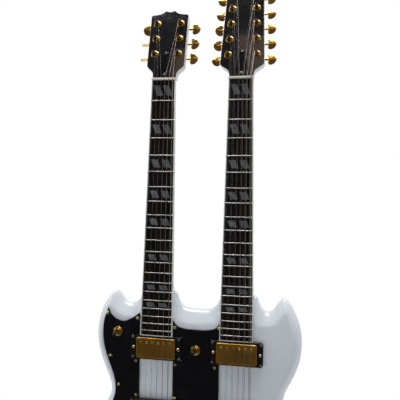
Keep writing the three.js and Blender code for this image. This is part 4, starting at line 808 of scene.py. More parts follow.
COVER_HALF = 0.0125
COVER_WAIST = 0.006
COVER_BELL = (0.011, 0.023, 0.034)
COVER_HEIGHT = 0.046
COVER_FRONT = -0.0021
COVER_FOOT = 0.003
COVER_SOFT = 0.0005
COVER_STEPS = 10
COVER_SCREW = (0.0022, 0.0011)
COVER_SCREWS_Z = (0.0455, 0.0065)
SCREW_DOME = ((0.0, 1.0), (0.3, 0.96), (0.62, 0.8), (0.86, 0.52), (1.0, 0.12), (1.0, -0.3))
SLOT_HALF = 0.16
SLOT_REACH = 0.8
SLOT_DEPTH = 0.45

black_plastic = finish(
    "black_plastic", tint=(60, (0.0022, 0.0020, 0.0030), (0.0046, 0.0042, 0.0054), 6),
    sheen=(130, 0.06, 0.16), relief=(700, 0.03, 0.0001), Specular_IOR_Level=0.25, Coat_Weight=0.1,
    Coat_Roughness=0.05)
dark_screw = finish(
    "dark_screw", tint=(400, (0.16, 0.15, 0.14), (0.34, 0.32, 0.29)), sheen=(500, 0.3, 0.5), Metallic=1.0)


def screw_head(radius, height, slots=2):
    """A domed screw head on y = 0, its cross or single slot sunk into the dome."""
    steps = 24 * slots
    rings = []
    for share, rise in SCREW_DOME:
        ring = []
        for k in range(steps):
            angle = 2 * math.pi * k / steps
            in_slot = any(
                abs(math.sin(angle + turn)) * share < SLOT_HALF for turn in (0, math.pi / 2)[:slots])
            sunk = SLOT_DEPTH if in_slot and share < SLOT_REACH else 0
            reach = radius * share
            ring.append((reach * math.cos(angle), -height * (rise - sunk), reach * math.sin(angle)))
        rings.append(ring)
    return loft(rings, ends=False)


for label, neck in NECKS.items():
    foot, low_pull, high_pull, neck_end = (
        Vector(p) for p in zip((COVER_HALF, COVER_HALF, COVER_WAIST, COVER_WAIST), (0, *COVER_BELL)))
    right = []
    for t in (k / COVER_STEPS for k in range(COVER_STEPS + 1)):
        right.append((1 - t) ** 3 * foot + 3 * t * (1 - t) ** 2 * low_pull
                     + 3 * t ** 2 * (1 - t) * high_pull + t ** 3 * neck_end)
    right += rounding(neck_end, Vector((COVER_WAIST, COVER_HEIGHT)), Vector((0, COVER_HEIGHT)), 8)[1:]
    outline = right + [Vector((-p.x, p.y)) for p in reversed(right[:-1])]
    cover = make(
        f"cover_{label}", moved(slab(outline, COVER_FRONT, -GAP, COVER_SOFT), z=COVER_FOOT),
        black_plastic, head_place(neck))
    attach(cover, "instrument")
    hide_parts(f"truss_rod_cover_{label}")
    heads = [moved(screw_head(*COVER_SCREW), y=COVER_FRONT, z=z) for z in COVER_SCREWS_Z]
    screws = make(f"cover_{label}_screws", together(*heads), dark_screw, head_place(neck))
    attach(screws, "instrument")


# Tuning machines: cast housings screwed to the back of the headstock on a strip, each with a worm
# shaft for its button. The post comes up through a threaded bushing with a hexagon head over a cone
# washer. Posts, bushings and hexagons take a darker brown gold than the housings: painted shade and
# painted dark reflection, standing in for the shadow they sit in.

SHAFT_Y = 0.0203
TUNER_FROM_EDGE = 0.0127
HOUSING = (0.013, 0.010, 0.015)
HOUSING_SOFT = 0.0022
HOUSING_CORNER = 0.0035
HOUSING_LID = (0.0088, 0.0108, 0.0028)
LID_THICKNESS = 0.0006
PLATE_SOFT = 0.0004
LID_SCREW = (0.0021, 0.0008, 1)
LUG_Y = -0.0010
STRIP_WIDTH = 0.011
STRIP_OVERHANG = 0.004
STRIP_CORNER = 0.003
STRIP_THICKNESS = 0.0012
POST = [
    (0, -0.0104), (0.0016, -0.0105), (0.0018, -0.0110), (0.0026, -0.0110), (0.0030, -0.0106),
    (0.0030, -0.0080), (0.0025, -0.0072), (0.0024, -0.0050), (0.0029, -0.0040), (0.0030, 0.0020),
    (0, 0.0020)]
BUSHING = [(0, -0.0026), (0.0040, -0.0027), (0.0043, -0.0024), (0.0045, 0.0), (0.0045, 0.0150), (0, 0.0150)]
HEX_RADIUS = 0.0054
HEX_FRONT_AND_BACK = (-0.0029, -0.0010)
HEX_SOFT = 0.0009
CONE_WASHER = [
    (0.0040, -0.0003), (0.0040, -0.0018), (0.0052, -0.0019), (0.0056, -0.0018), (0.0068, -0.0006),
    (0.0070, -0.0003), (0.0040, -0.0003)]
HOUSING_LUG = [(0, -0.004), (0.0032, -0.004), (0.0034, 0), (0.0026, 0.0008), (0, 0.0008)]
SHAFT_COLLAR = [(0, -0.0008), (0.0036, -0.0008), (0.0036, 0.0), (0.0030, 0.0012), (0, 0.0012)]

gold = finish(
    "gold_plating", tint=(65, (0.42, 0.26, 0.05), (0.68, 0.46, 0.14), 5), sheen=(170, 0.1, 0.22),
    relief=(900, 0.03, 0.0001), Metallic=1.0)
# Painted shade: a darker, browner copy of the gold plating for posts, bushings and hexagons, standing in for
# their shadow and dark reflection
painted_shade_gold = finish(
    "painted_shade_gold", tint=(180, (0.15, 0.085, 0.03), (0.34, 0.21, 0.08), 5), sheen=(260, 0.1, 0.24),
    relief=(900, 0.03, 0.0001), Metallic=1.0)


def turned(profile, steps=32):
    """A turned piece about the Y axis, from (radius, y) points."""
    return loft([[(p.x, y, p.y) for p in circle(radius, steps)] for radius, y in profile], ends=False)


def tuner_places(neck, side):
    """Where the posts of one side stand on the headstock, from the nut up."""
    rows = [neck["first_row"] + row * TUNER_PITCH for row in range(neck["rows"])]
    return [(side * (head_half(neck, z) - TUNER_FROM_EDGE), z) for z in rows]


for label, neck in NECKS.items():
    for side, side_name in ((-1, "left"), (1, "right")):
        places = tuner_places(neck, side)
        machines, posts = [], []
        for x, z in places:
            hexagon = slab(circle(HEX_RADIUS, 6), *HEX_FRONT_AND_BACK, HEX_SOFT, 0, 2)
            posts += [moved(part, x, 0, z) for part in (turned(POST, 28), turned(BUSHING), hexagon)]
            housing = block(*HOUSING, HOUSING_SOFT, HOUSING_CORNER)
            lid = slab(rounded_rectangle(*HOUSING_LID), 0, LID_THICKNESS, 0, PLATE_SOFT)
            lid_screw = moved(screw_head(*LID_SCREW), y=LID_THICKNESS, turn=about("X", math.pi))
            lid = moved(together(lid, lid_screw), y=HOUSING[1] / 2)
            lug = moved(turned(HOUSING_LUG), y=LUG_Y, z=-HOUSING[2] / 2)
            collar = moved(turned(SHAFT_COLLAR), side * HOUSING[0] / 2, turn=about("Z", -side * math.pi / 2))
            machines += [moved(turned(CONE_WASHER), x, 0, z)]
            machines += [moved(part, x, SHAFT_Y, z) for part in (housing, lid, lug, collar)]
        (x0, z0), (x1, z1) = places[0], places[-1]
        strip = rounded_rectangle(STRIP_WIDTH, z1 - z0 + HOUSING[2] + STRIP_OVERHANG, STRIP_CORNER)
        strip = moved(
            slab(strip, 0, STRIP_THICKNESS, 0, PLATE_SOFT), (x0 + x1) / 2, HEAD_THICKNESS + GAP,
            (z0 + z1) / 2, about("Y", math.atan2(x1 - x0, z1 - z0)))
        bank = make(f"machines_{side_name}_{label}", together(strip, *machines), gold, head_place(neck))
        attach(bank, "instrument")
        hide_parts(f"tuner_bank_{side_name}_{label}")
        # Posts, bushings and hexagons take the gold with painted shade in it
        front_parts = make(f"posts_{side_name}_{label}", together(*posts), painted_shade_gold, head_place(neck))
        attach(front_parts, "instrument")


# Tuner buttons: cast and plated, flat towards the headstock and round outside, each fixed to its
# worm shaft by a small screw in the end and standing at the angle it was last tuned to.

BUTTON_REACH = 0.017
BUTTON_WIDTH = 0.0148
BUTTON_HALF = 0.01025
BUTTON_THICKNESS = 0.0054
BUTTON_SOFT = 0.0014
BUTTON_DENT = 0.0012
BUTTON_FLAT = 0.0037
BUTTON_CORNER = 0.0009
BUTTON_LOBE = 0.6
BUTTON_FALL = 0.8
ROUND_STEPS = 20
END_SCREW = (0.0017, 0.0005)
END_SCREW_SUNK = 0.0006
# Quarter turns from edge-on, for the posts from the nut up
BUTTON_TURNS = {
    "left_6": (0.35, 0.3, 1.08), "right_6": (1.1, 1.08, 1.08),
    "left_12": (1.03, 1.08, 1.1, 1.05, 1.03, 1.08), "right_12": (1.03, 1.04, 1.05, 1.04, 1.05, 1.03),
}
STEM = [
    (0, 0), (0.0020, 0), (0.0020, 0.0078), (0.0028, 0.0088), (0.0028, 0.0100), (0.0023, 0.0108),
    (0.0023, 0.0190), (0, 0.0190)]

button_gold = finish(
    "button_gold", tint=(50, (0.52, 0.30, 0.08), (0.80, 0.55, 0.22), 5), sheen=(120, 0.1, 0.2),
    relief=(700, 0.02, 0.0001), Metallic=1.0)


def bow(start, pull, end):
    """A bent edge of the button, without its first point."""
    return rounding(Vector(start), Vector(pull), Vector(end), 5)[1:]


def ridged(shape, middle):
    """A button with a low ridge along each face, from the dent to that point of the round side."""
    points = [Vector((p.x, p.y * (1 - BUTTON_FALL * abs(p.z) / BUTTON_HALF), p.z)) for p in shape[0]]
    faces = shape[1][:-2]
    for cap in shape[1][-2:]:
        faces += [(cap[-1],) + cap[:middle + 1], cap[middle:]]
    return points, faces


round_side = [Vector((
    BUTTON_FLAT + (BUTTON_WIDTH - BUTTON_FLAT) * math.sin(angle), -BUTTON_HALF * math.cos(angle)))
    for angle in (math.pi * k / ROUND_STEPS for k in range(ROUND_STEPS + 1))]
lobe = BUTTON_HALF * BUTTON_LOBE
lower_flat = (
    bow((BUTTON_DENT, 0), (BUTTON_DENT / 2, -BUTTON_HALF / 2), (0, -lobe))
    + bow((0, -lobe), (BUTTON_CORNER, -BUTTON_HALF), round_side[0]))
upper_flat = (
    bow(round_side[-1], (BUTTON_CORNER, BUTTON_HALF), (0, lobe))
    + bow((0, lobe), (BUTTON_DENT / 2, BUTTON_HALF / 2), (BUTTON_DENT, 0)))
button_outline = lower_flat + round_side[1:] + upper_flat
half_thickness = BUTTON_THICKNESS / 2
grip = slab(button_outline, -half_thickness, half_thickness, BUTTON_SOFT, BUTTON_SOFT, 5)
grip = ridged(grip, len(lower_flat) + ROUND_STEPS // 2 - 1)
grip = moved(grip, x=BUTTON_REACH, turn=about("X", math.pi / 2))
stem = moved(turned(STEM, 24), turn=about("Z", -math.pi / 2))
end_screw = moved(
    screw_head(*END_SCREW), x=BUTTON_REACH + BUTTON_WIDTH - END_SCREW_SUNK, turn=about("Z", math.pi / 2))
for label, neck in NECKS.items():
    for side, side_name in ((-1, "left"), (1, "right")):
        turns = BUTTON_TURNS[f"{side_name}_{label}"]
        for row, ((x, z), turn) in enumerate(zip(tuner_places(neck, side), turns), 1):
            at_post = head_place(neck) @ Matrix.Translation((x, SHAFT_Y, z))
            outward = about("Z", math.pi if side < 0 else 0)
            button = make(
                f"button_{side_name}_{row}_{label}", together(grip, stem, end_screw), button_gold,
                at_post @ about("X", turn * math.pi / 2) @ outward)
            node = f"tuner_button_{side_name}_{row}_{label}"
            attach(button, node)
            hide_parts(node)


# Nuts: a bar of bone glued across the end of each fretboard, its top rounded off behind
# and filed with a slot for every string.

COURSES = 6
NUT_SPREAD = 0.034
NUT_PAIR = 0.0019
BRIDGE_SPREAD = 0.052
BRIDGE_PAIR = 0.0024
NUT_TOP = -0.0004
NUT_CORNER = 0.0006
# How far each point of the nut's section lies behind its top, and how far past the board's end
NUT_SECTION = ((0.0003, 0), (0, 0.0004), (0.0002, 0.0025), (0.0012, 0.0042), (0.0022, 0.0045))
# The radius of each string, course by course
GAUGES = {
    "6": [(0.00013,), (0.00017,), (0.00022,), (0.00033,), (0.00046,), (0.00058,)],
    "12": [(0.00013, 0.00013), (0.00017, 0.00017), (0.00013, 0.00024), (0.00016, 0.00033),
           (0.00022, 0.00046), (0.00033, 0.00058)],
}


def string_set(label):
    """Each string's x at the nut and at the bridge, its radius and its course."""
    strings = []
    for course, gauges in enumerate(GAUGES[label]):
        share = course / (COURSES - 1) - 0.5
        for number, radius in enumerate(gauges):
            offset = number - (len(gauges) - 1) / 2
            strings.append((
                share * NUT_SPREAD + offset * NUT_PAIR, share * BRIDGE_SPREAD + offset * BRIDGE_PAIR,
                radius, course))
    return strings


bone = finish(
    "bone", tint=(130, (0.34, 0.30, 0.23), (0.46, 0.42, 0.34), 6, (0.3, 1, 1)), sheen=(300, 0.35, 0.55),
    relief=(900, 0.1, 0.0001), Specular_IOR_Level=0.4)
for label, neck in NECKS.items():
    half = NUT_WIDTH / 2
    stations = {side * (half - short): 0.0 for side in (-1, 1) for short in (0, NUT_CORNER)}
    for nut_x, _, radius, _ in string_set(label):
        for step, sink in ((-1.6, 0), (-1, 0.6), (0, 1), (1, 0.6), (1.6, 0)):
            stations[nut_x + step * radius] = sink * (radius - NUT_TOP)
    rings = []
    for x in sorted(stations):
        top = NUT_TOP + stations[x] + (NUT_CORNER if abs(x) > half - NUT_CORNER / 2 else 0)
        rings.append(
            [(x, BOARD_BOTTOM, SCALE)] + [(x, top + down, SCALE + over) for down, over in NUT_SECTION]
            + [(x, BOARD_BOTTOM, SCALE + NUT_SECTION[-1][1])])
    nut = make(f"nut_{label}", loft(rings), bone, neck_place(neck), crease=30)
    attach(nut, "instrument")
    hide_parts(f"nut_with_strings_{label}")


# Strings: plain steel for the thin courses and steel wound with nickel for the thick ones.
# Each runs from the tailpiece over its saddle and the nut, and is wound round its post.

TAIL_Z = 0.0893
TAIL_FRONT = FACE - 0.011
TAIL_HOLE = TAIL_Z + 0.0055
THINNEST_WOUND = 0.00023
OVER_SADDLE = ((0.0012, -0.005), (0, -0.0012), (0, 0.004))
OVER_NUT = ((0, 0), (0, 0.0022), (0.0006, 0.0045))
WAIST_OF_POST = 0.0026
FIRST_LAP = -0.0066
LAP_PITCH = 1.05
LAP_STEPS = 12
LAPS = (3.75, 3.75, 3.75, 2.75, 2.75, 2.75)


def tube(line, radius, sides=8):
    """A round wire along the line, its ends flat."""
    rings, up = [], Vector((0.3, 1, 0.2))
    for k, point in enumerate(line):
        along = (line[min(k + 1, len(line) - 1)] - line[max(k - 1, 0)]).normalized()
        aside = along.cross(up).normalized()
        up = aside.cross(along).normalized()
        rings.append([point + aside * p.x + up * p.y for p in circle(radius, sides)])
    return loft(rings)


plain_string = finish(
    "plain_string", sheen=(300, 0.18, 0.34, 4, (1, 1, 0.1)), Metallic=1.0,
    Base_Color=(0.38, 0.38, 0.385, 1))
wound_string = finish(
    "wound_string", tint=(200, (0.27, 0.255, 0.225), (0.42, 0.40, 0.36), 4, (1, 1, 0.1)),
    sheen=(400, 0.28, 0.46), Metallic=1.0)
windings = add_node(wound_string, "ShaderNodeTexWave", Scale=640.0, bands_direction="Z")
ridges = add_node(wound_string, "ShaderNodeBump", Strength=0.35, Distance=0.0001)
wire_up(
    wound_string, (add_node(wound_string, "ShaderNodeTexCoord"), "Object", windings, "Vector"),
    (windings, 1, ridges, "Height"), (ridges, 0, wound_string.node_tree.nodes["Principled BSDF"], "Normal"))
for label, neck in NECKS.items():
    place = neck_place(neck)
    onto_head = place.inverted() @ head_place(neck)
    plain, wound = [], []
    for index, (nut_x, bridge_x, radius, course) in enumerate(string_set(label)):
        side = -1 if index < neck["rows"] else 1
        row = index if side < 0 else 2 * neck["rows"] - 1 - index
        post_x, post_z = tuner_places(neck, side)[row]
        line = [place.inverted() @ Vector((neck["x"] + bridge_x, TAIL_FRONT, TAIL_HOLE))]
        line += rounding(*(Vector((bridge_x, y, z)) for y, z in OVER_SADDLE))
        line += [Vector((nut_x, y, SCALE + z)) for y, z in OVER_NUT]
        wrap = WAIST_OF_POST + radius
        for k in range(int(LAPS[course] * LAP_STEPS) + 1):
            angle = 2 * math.pi * k / LAP_STEPS
            line.append(onto_head @ Vector((
                post_x - side * wrap * math.cos(angle), FIRST_LAP + 2 * radius * LAP_PITCH * k / LAP_STEPS,
                post_z + wrap * math.sin(angle))))
        (plain if radius < THINNEST_WOUND else wound).append(tube(line, radius))
    for kind, wires, material in (("plain", plain, plain_string), ("wound", wound, wound_string)):
        strings = make(f"strings_{kind}_{label}", together(*wires), material, place, crease=60)
        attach(strings, "instrument")


# Pickguards: gloss black plates sawn from sheet, their front edge beveled, screwed to the body
# beside the necks and cut out round the pickup rings.

GUARD_BACK = FACE - GAP
GUARD_FRONT = FACE - 0.0028
GUARD_BEVEL = 0.0009
GUARD_TOP = along_body(0.907)
GUARD_BOTTOM = along_body(0.394)
STRIP_HALF = 0.0297
NECK_PICKUP_Z = 0.3044
BRIDGE_PICKUP_Z = 0.1943
CUT_HALF_WIDTH = 0.0448
CUT_HALF_LENGTH = 0.0208
CUTAWAY_EDGE = [(0.064, 0.881), (0.201, 0.865), (0.338, 0.87), (0.461, 0.891), (0.525, 0.922)]
HORN_EDGE = [(0.525, 0.922), (0.598, 0.868)]
OUTER_EDGE = [
    (-0.411, 0.808), (-0.406, 0.756), (-0.394, 0.71), (-0.377, 0.663), (-0.362, 0.622), (-0.353, 0.58),
    (-0.353, 0.536), (-0.367, 0.492), (-0.387, 0.446), (-0.38, 0.409), (-0.345, 0.394)]
CENTRE_TOP = [(1, 0.879), (0.82, 0.857), (0.5, 0.847), (0, 0.845)]
GUARD_SCREW = (0.0027, 0.0014)
GUARD_SCREWS = {
    "left": [
        (-0.104, 0.3533), (-0.106, 0.2793), (-0.105, 0.2193), (-0.159, 0.3603), (-0.153, 0.2853),
        (-0.137, 0.2353), (-0.148, 0.1843), (-0.106, 0.1703)],
    "centre": [
        (-0.037, 0.3413), (-0.036, 0.2773), (-0.036, 0.2193), (0.033, 0.2773), (0.039, 0.3443),
        (0.034, 0.2193), (-0.034, 0.1703), (0.034, 0.1703)],
}

pale_gold = finish(
    "pale_gold", tint=(150, (0.60, 0.47, 0.25), (0.84, 0.71, 0.44), 5), sheen=(300, 0.16, 0.32), Metallic=1.0)


def strip_edge(x, cut, top):
    """A guard's edge along a fretboard from the bottom up, stepped back round both pickup rings."""
    line = [(x, GUARD_BOTTOM)]
    for z in (BRIDGE_PICKUP_Z, NECK_PICKUP_Z):
        low, high = z - CUT_HALF_LENGTH, z + CUT_HALF_LENGTH
        line += [(x, low), (cut, low), (cut, high), (x, high)]
    return [Vector(p) for p in line + [(x, top)]]


def on_horn(rows):
    return [Vector((-HORN_START - x * HORN_ROOM, along_body(z))) for x, z in rows]


waist_edge = [Vector((x * BODY_WIDTH, along_body(z))) for x, z in OUTER_EDGE]
left_outline = (
    strip_edge(-NECK_X - STRIP_HALF, -NECK_X - CUT_HALF_WIDTH, GUARD_TOP)
    + spline(on_horn(CUTAWAY_EDGE), 5) + spline(on_horn(HORN_EDGE) + waist_edge, 5)[1:])
centre_half = NECK_X - STRIP_HALF
centre_top = spline([Vector((x * centre_half, along_body(z))) for x, z in CENTRE_TOP], 5)
centre_right = strip_edge(centre_half, NECK_X - CUT_HALF_WIDTH, centre_top[0].y)[:-1] + centre_top
centre_outline = centre_right + [Vector((-p.x, p.y)) for p in reversed(centre_right[:-1])]
for name, outline in (("left", left_outline), ("centre", centre_outline)):
    guard = make(
        f"guard_{name}", slab(outline, GUARD_FRONT, GUARD_BACK, GUARD_BEVEL, 0, 2), black_plastic, crease=30)
    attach(guard, "instrument")
    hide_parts(f"pickguard_{name}")
for name, places in GUARD_SCREWS.items():
    random.seed(len(places) + len(name))
    heads = [moved(screw_head(*GUARD_SCREW), x, GUARD_FRONT, z, about("Y", random.uniform(0, 3)))
             for x, z in places]
    screws = make(f"guard_{name}_screws", together(*heads), pale_gold)
    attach(screws, "instrument")


# Pickup rings: moulded black plastic frames, thicker where the strings stand higher, with a
# dark screw in each corner and a sprung gold screw at each end that carries the pickup.

PICKUP_TO_STRINGS = 0.0036
RING_BELOW_COVER = 0.003
RING_OUTSIDE = (0.089, 0.041, 0.004)
RING_INSIDE = (0.0695, 0.036, 0.003)
RING_SOFT = 0.0011
RING_LIP = 0.0004
CORNER_SCREW = (0.0021, 0.001)
CORNER_SCREW_X, CORNER_SCREW_Z = 0.041, 0.017
HEIGHT_SCREW = (0.0027, 0.0017)
HEIGHT_SCREW_X = 0.0395
CORNER_SCREW_TURN = 0.5
HEIGHT_SCREW_TURN = 0.7
PICKUPS = [(f"{kind}_pickup_{label}", neck["x"], z, up)
           for label, neck in NECKS.items()
           for kind, z, up in (("neck", NECK_PICKUP_Z, 1), ("bridge", BRIDGE_PICKUP_Z, -1))]

satin_black = finish(
    "satin_black", tint=(120, (0.0045, 0.0045, 0.0048), (0.010, 0.0095, 0.0098), 5), sheen=(260, 0.14, 0.26),
    relief=(1200, 0.1, 0.0001), Specular_IOR_Level=0.22)


def cover_front(z):
    """The y of a pickup cover's face, which follows the slope of the strings."""
    return -(STRINGS_OVER_FACE - (z - BRIDGE_Z) * math.tan(TILT) - PICKUP_TO_STRINGS)


def frame_of(outer, inner, front, back, soft):
    """A flat frame between two outlines of equally many points, its outer front edge rounded."""
    angles = [math.pi / 2 * k / 3 for k in range(4)]
    levels = [(outer, 0.0, back)]
    levels += [(outer, soft * (1 - math.cos(a)), front + soft * (1 - math.sin(a))) for a in angles]
    levels += [(inner, -RING_LIP, front), (inner, 0.0, front + RING_LIP), (inner, 0.0, back)]
    rings = [[(p.x, y, p.y) for p in inset(outline, draw)] for outline, draw, y in levels]
    return loft(rings + rings[:1], ends=False)


for name, x, z, _ in PICKUPS:
    front = cover_front(z) + RING_BELOW_COVER
    surround = frame_of(
        rounded_rectangle(*RING_OUTSIDE), rounded_rectangle(*RING_INSIDE), front, -GAP, RING_SOFT)
    ring = make(f"{name}_surround", moved(surround, x, FACE, z), satin_black, crease=30)
    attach(ring, "instrument")
    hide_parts(f"{name}_ring")
    corners = [moved(
        screw_head(*CORNER_SCREW), x + side * CORNER_SCREW_X, FACE + front, z + end * CORNER_SCREW_Z,
        about("Y", CORNER_SCREW_TURN * side + end)) for side in (-1, 1) for end in (-1, 1)]
    corner_screws = make(f"{name}_corner_screws", together(*corners), dark_screw)
    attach(corner_screws, "instrument")
    carriers = [moved(
        screw_head(*HEIGHT_SCREW), x + side * HEIGHT_SCREW_X, FACE + front, z,
        about("Y", HEIGHT_SCREW_TURN * side)) for side in (-1, 1)]
    height_screws = make(f"{name}_height_screws", together(*carriers), pale_gold)
    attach(height_screws, "instrument")


# Pickups: two coils under a drawn metal cover, plated gold, with one row of slotted pole screws.
# The cover's polish is soft from fingers and picks, and its gold a redder brown that wanders in broad
# patches.

COVER_SIZE = (0.0685, 0.035, 0.003)
COVER_DEPTH = 0.018
COVER_EDGE = 0.0014
EARS = (0.082, 0.002, 0.012, 0.0004, 0.002)
POLES = 6
POLE_SCREW = (0.0024, 0.0009, 1)
POLE_SPREAD = 0.0505
POLE_ROW = 0.0095
POLE_TURN = 0.9

pickup_gold = finish(
    "pickup_gold", tint=(38, (0.52, 0.25, 0.03), (0.76, 0.40, 0.07), 6), sheen=(75, 0.25, 0.35, 3),
    relief=(800, 0.015, 0.0001, 3, (1, 1, 0.2)), Metallic=1.0)
for name, x, z, up in PICKUPS:
    front = cover_front(z)
    lid = slab(rounded_rectangle(*COVER_SIZE), front, front + COVER_DEPTH, COVER_EDGE, 0, 4)
    ears = moved(block(*EARS), y=front + COVER_DEPTH)
    cover = make(f"{name}_cover", moved(together(lid, ears), x, FACE, z), pickup_gold)
    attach(cover, "instrument")
    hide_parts(name)
    poles = [moved(
        screw_head(*POLE_SCREW), x + (k / (POLES - 1) - 0.5) * POLE_SPREAD, FACE + front,
        z + up * POLE_ROW, about("Y", POLE_TURN * k)) for k in range(POLES)]
    pole_screws = make(f"{name}_pole_screws", together(*poles), gold)
    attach(pole_screws, "instrument")


# Bridges: a cast bar on two threaded posts with thumbwheels, and six saddles that slide on
# screws, each notched for its string or pair of strings.

BRIDGE_BAR = (0.092, 0.011, 0.0036)
BAR_DEPTH = 0.007
BAR_SOFT = 0.0012
SADDLE_TOP = -(STRINGS_OVER_FACE - 0.0009)
BAR_FRONT = SADDLE_TOP + 0.003
SADDLE_HALF = 0.0034
SADDLE_SHOULDER = SADDLE_TOP + 0.0022
SADDLE_FOOT = BAR_FRONT + 0.001
SADDLE_SCREW = (0.0014, 0.0012, 1)
SADDLE_SCREW_Y = BAR_FRONT + 0.0032
SADDLE_SCREW_SUNK = 0.0002
SADDLE_SCREW_Z = -BRIDGE_BAR[1] / 2 + SADDLE_SCREW_SUNK
SADDLE_ROOF = [
    (-0.003, SADDLE_SHOULDER), (-0.0006, SADDLE_TOP), (0.0006, SADDLE_TOP), (0.003, SADDLE_SHOULDER),
    (0.003, SADDLE_FOOT), (-0.003, SADDLE_FOOT)]
BRIDGE_POST_X = 0.037
BRIDGE_POST_SCREW = (0.0024, 0.0006, 1)
BRIDGE_POST_FRONT = BAR_FRONT - 0.0006
BRIDGE_POST = [
    (0, BRIDGE_POST_FRONT), (0.0024, BRIDGE_POST_FRONT), (0.0026, BAR_FRONT), (0.0025, 0.012), (0, 0.012)]
WHEEL_RADIUS = 0.0065
WHEEL_THICKNESS = 0.003
WHEEL_SOFT = 0.0004
KNURL = 0.0003
for label, neck in NECKS.items():
    bar_back = BAR_FRONT + BAR_DEPTH
    parts = [slab(rounded_rectangle(*BRIDGE_BAR), BAR_FRONT, bar_back, BAR_SOFT, BAR_SOFT)]
    for course in range(COURSES):
        x = (course / (COURSES - 1) - 0.5) * BRIDGE_SPREAD
        parts.append(loft([
            [(x + side * SADDLE_HALF, y, z) for z, y in SADDLE_ROOF] for side in (-1, 1)]))
        parts.append(moved(
            screw_head(*SADDLE_SCREW), x, SADDLE_SCREW_Y, SADDLE_SCREW_Z, about("X", math.pi / 2)))
    for x in (-BRIDGE_POST_X, BRIDGE_POST_X):
        wheel = circle(WHEEL_RADIUS, 48, KNURL)
        wheel = slab(wheel, bar_back, bar_back + WHEEL_THICKNESS, WHEEL_SOFT, WHEEL_SOFT)
        slotted_end = moved(screw_head(*BRIDGE_POST_SCREW), y=BRIDGE_POST_FRONT)
        parts += [moved(part, x=x) for part in (wheel, turned(BRIDGE_POST, 24), slotted_end)]
    bridge = make(f"bridge_{label}_bar", moved(together(*parts), neck["x"], FACE, BRIDGE_Z), gold)
    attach(bridge, "instrument")
    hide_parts(f"bridge_{label}")


# Tailpieces: a rounded cast bar hooked over two slotted studs that are screwed into the body,
# with the strings threaded through it from behind.

TAIL_BAR = (0.102, 0.014, 0.0046)
TAIL_BAR_FRONT = -0.016
TAIL_BAR_BACK = -0.006
TAIL_SOFT_FRONT = 0.0042
TAIL_SOFT_BACK = 0.0025
STUD_SLOT = (0.0052, 0.0006, 1)
STUD_SLOT_TURN = 0.6
STUD_X = 0.041
STUD = [
    (0, -0.0163), (0.0055, -0.0163), (0.0062, -0.0158), (0.0062, -0.0132), (0.0050, -0.0130), (0.0050, 0.010),
    (0, 0.010)]
STRING_HOLE = [
    (0, 0.0002), (0.0011, 0.0002), (0.0013, -0.0004), (0.0011, -0.0006), (0.0006, -0.0004), (0, -0.0004)]
HOLE_Z = TAIL_BAR[1] / 2 - 0.0001
for label, neck in NECKS.items():
    parts = [slab(
        rounded_rectangle(*TAIL_BAR), TAIL_BAR_FRONT, TAIL_BAR_BACK, TAIL_SOFT_FRONT, TAIL_SOFT_BACK, 6)]
    for side in (-1, 1):
        slot = moved(screw_head(*STUD_SLOT), y=TAIL_BAR_FRONT, turn=about("Y", STUD_SLOT_TURN + side))
        parts += [moved(part, x=side * STUD_X) for part in (turned(STUD), slot)]
    for _, x, _, _ in string_set(label):
        parts.append(moved(turned(STRING_HOLE, 16), x, TAIL_FRONT - FACE, HOLE_Z, about("X", -math.pi / 2)))
    tailpiece = make(f"tailpiece_{label}_bar", moved(together(*parts), neck["x"], FACE, TAIL_Z), gold)
    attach(tailpiece, "instrument")
    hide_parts(f"tailpiece_{label}")


# Toggle switches: a sprung frame inside the body, its threaded bushing up through the pickguard
# under a knurled gold ring nut, and a lever with a small black tip.

TOGGLES = {"left": (-0.3411 * BODY_WIDTH, along_body(0.8187)), "centre": (0.0, along_body(0.7565))}
NUT_SOFT = 0.0003
RING_NUT_RADIUS = 0.0085
RING_NUT_BACK = -0.0031
RING_NUT_FRONT = RING_NUT_BACK - 0.0022
SWITCH_BUSHING = [
    (0.0040, -0.0021), (0.0040, -0.0093), (0.0048, -0.0096), (0.0056, -0.0092), (0.0058, -0.0086),
    (0.0058, -0.0067), (0.0066, -0.0065), (0.0078, -0.0057), (0.0080, -0.0051), (0.0040, -0.0041)]
SWITCH_FRAME = (0.014, 0.0255, 0.026, 0.0006)
SWITCH_FRAME_Y = 0.0131
LEVER_STALK = [
    (0, 0.003), (0.0022, 0.002), (0.0030, 0), (0.0022, -0.002), (0.0015, -0.0030), (0.0015, -0.0172),
    (0, -0.0172)]
LEVER_TIP = [
    (0, -0.027), (0.0014, -0.0268), (0.0023, -0.0262), (0.0029, -0.0252), (0.0030, -0.0240),
    (0.0027, -0.0205), (0.0023, -0.0173), (0.0021, -0.0170), (0, -0.0170)]
for name, (x, z) in TOGGLES.items():
    ring_nut = slab(circle(RING_NUT_RADIUS, 72, KNURL), RING_NUT_FRONT, RING_NUT_BACK, NUT_SOFT)
    inner_frame = moved(block(*SWITCH_FRAME), y=SWITCH_FRAME_Y)
    switch = make(
        f"switch_{name}", moved(together(ring_nut, turned(SWITCH_BUSHING, 40), inner_frame), x, FACE, z),
        gold, crease=35)
    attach(switch, "instrument")
    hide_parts(f"toggle_switch_{name}")
    stalk = make(f"lever_{name}_stalk", moved(turned(LEVER_STALK, 24), x, FACE, z), gold)
    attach(stalk, f"toggle_lever_{name}")
    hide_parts(f"toggle_lever_{name}")
    tip = make(f"lever_{name}_tip", moved(turned(LEVER_TIP, 28), x, FACE, z), black_plastic)
    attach(tip, f"toggle_lever_{name}")


# Controls: four potentiometers on an earth plate in the cavity behind, kept as the solid, and
# press-on black knobs with a ribbed skirt, a gold cap and a white pointer line.

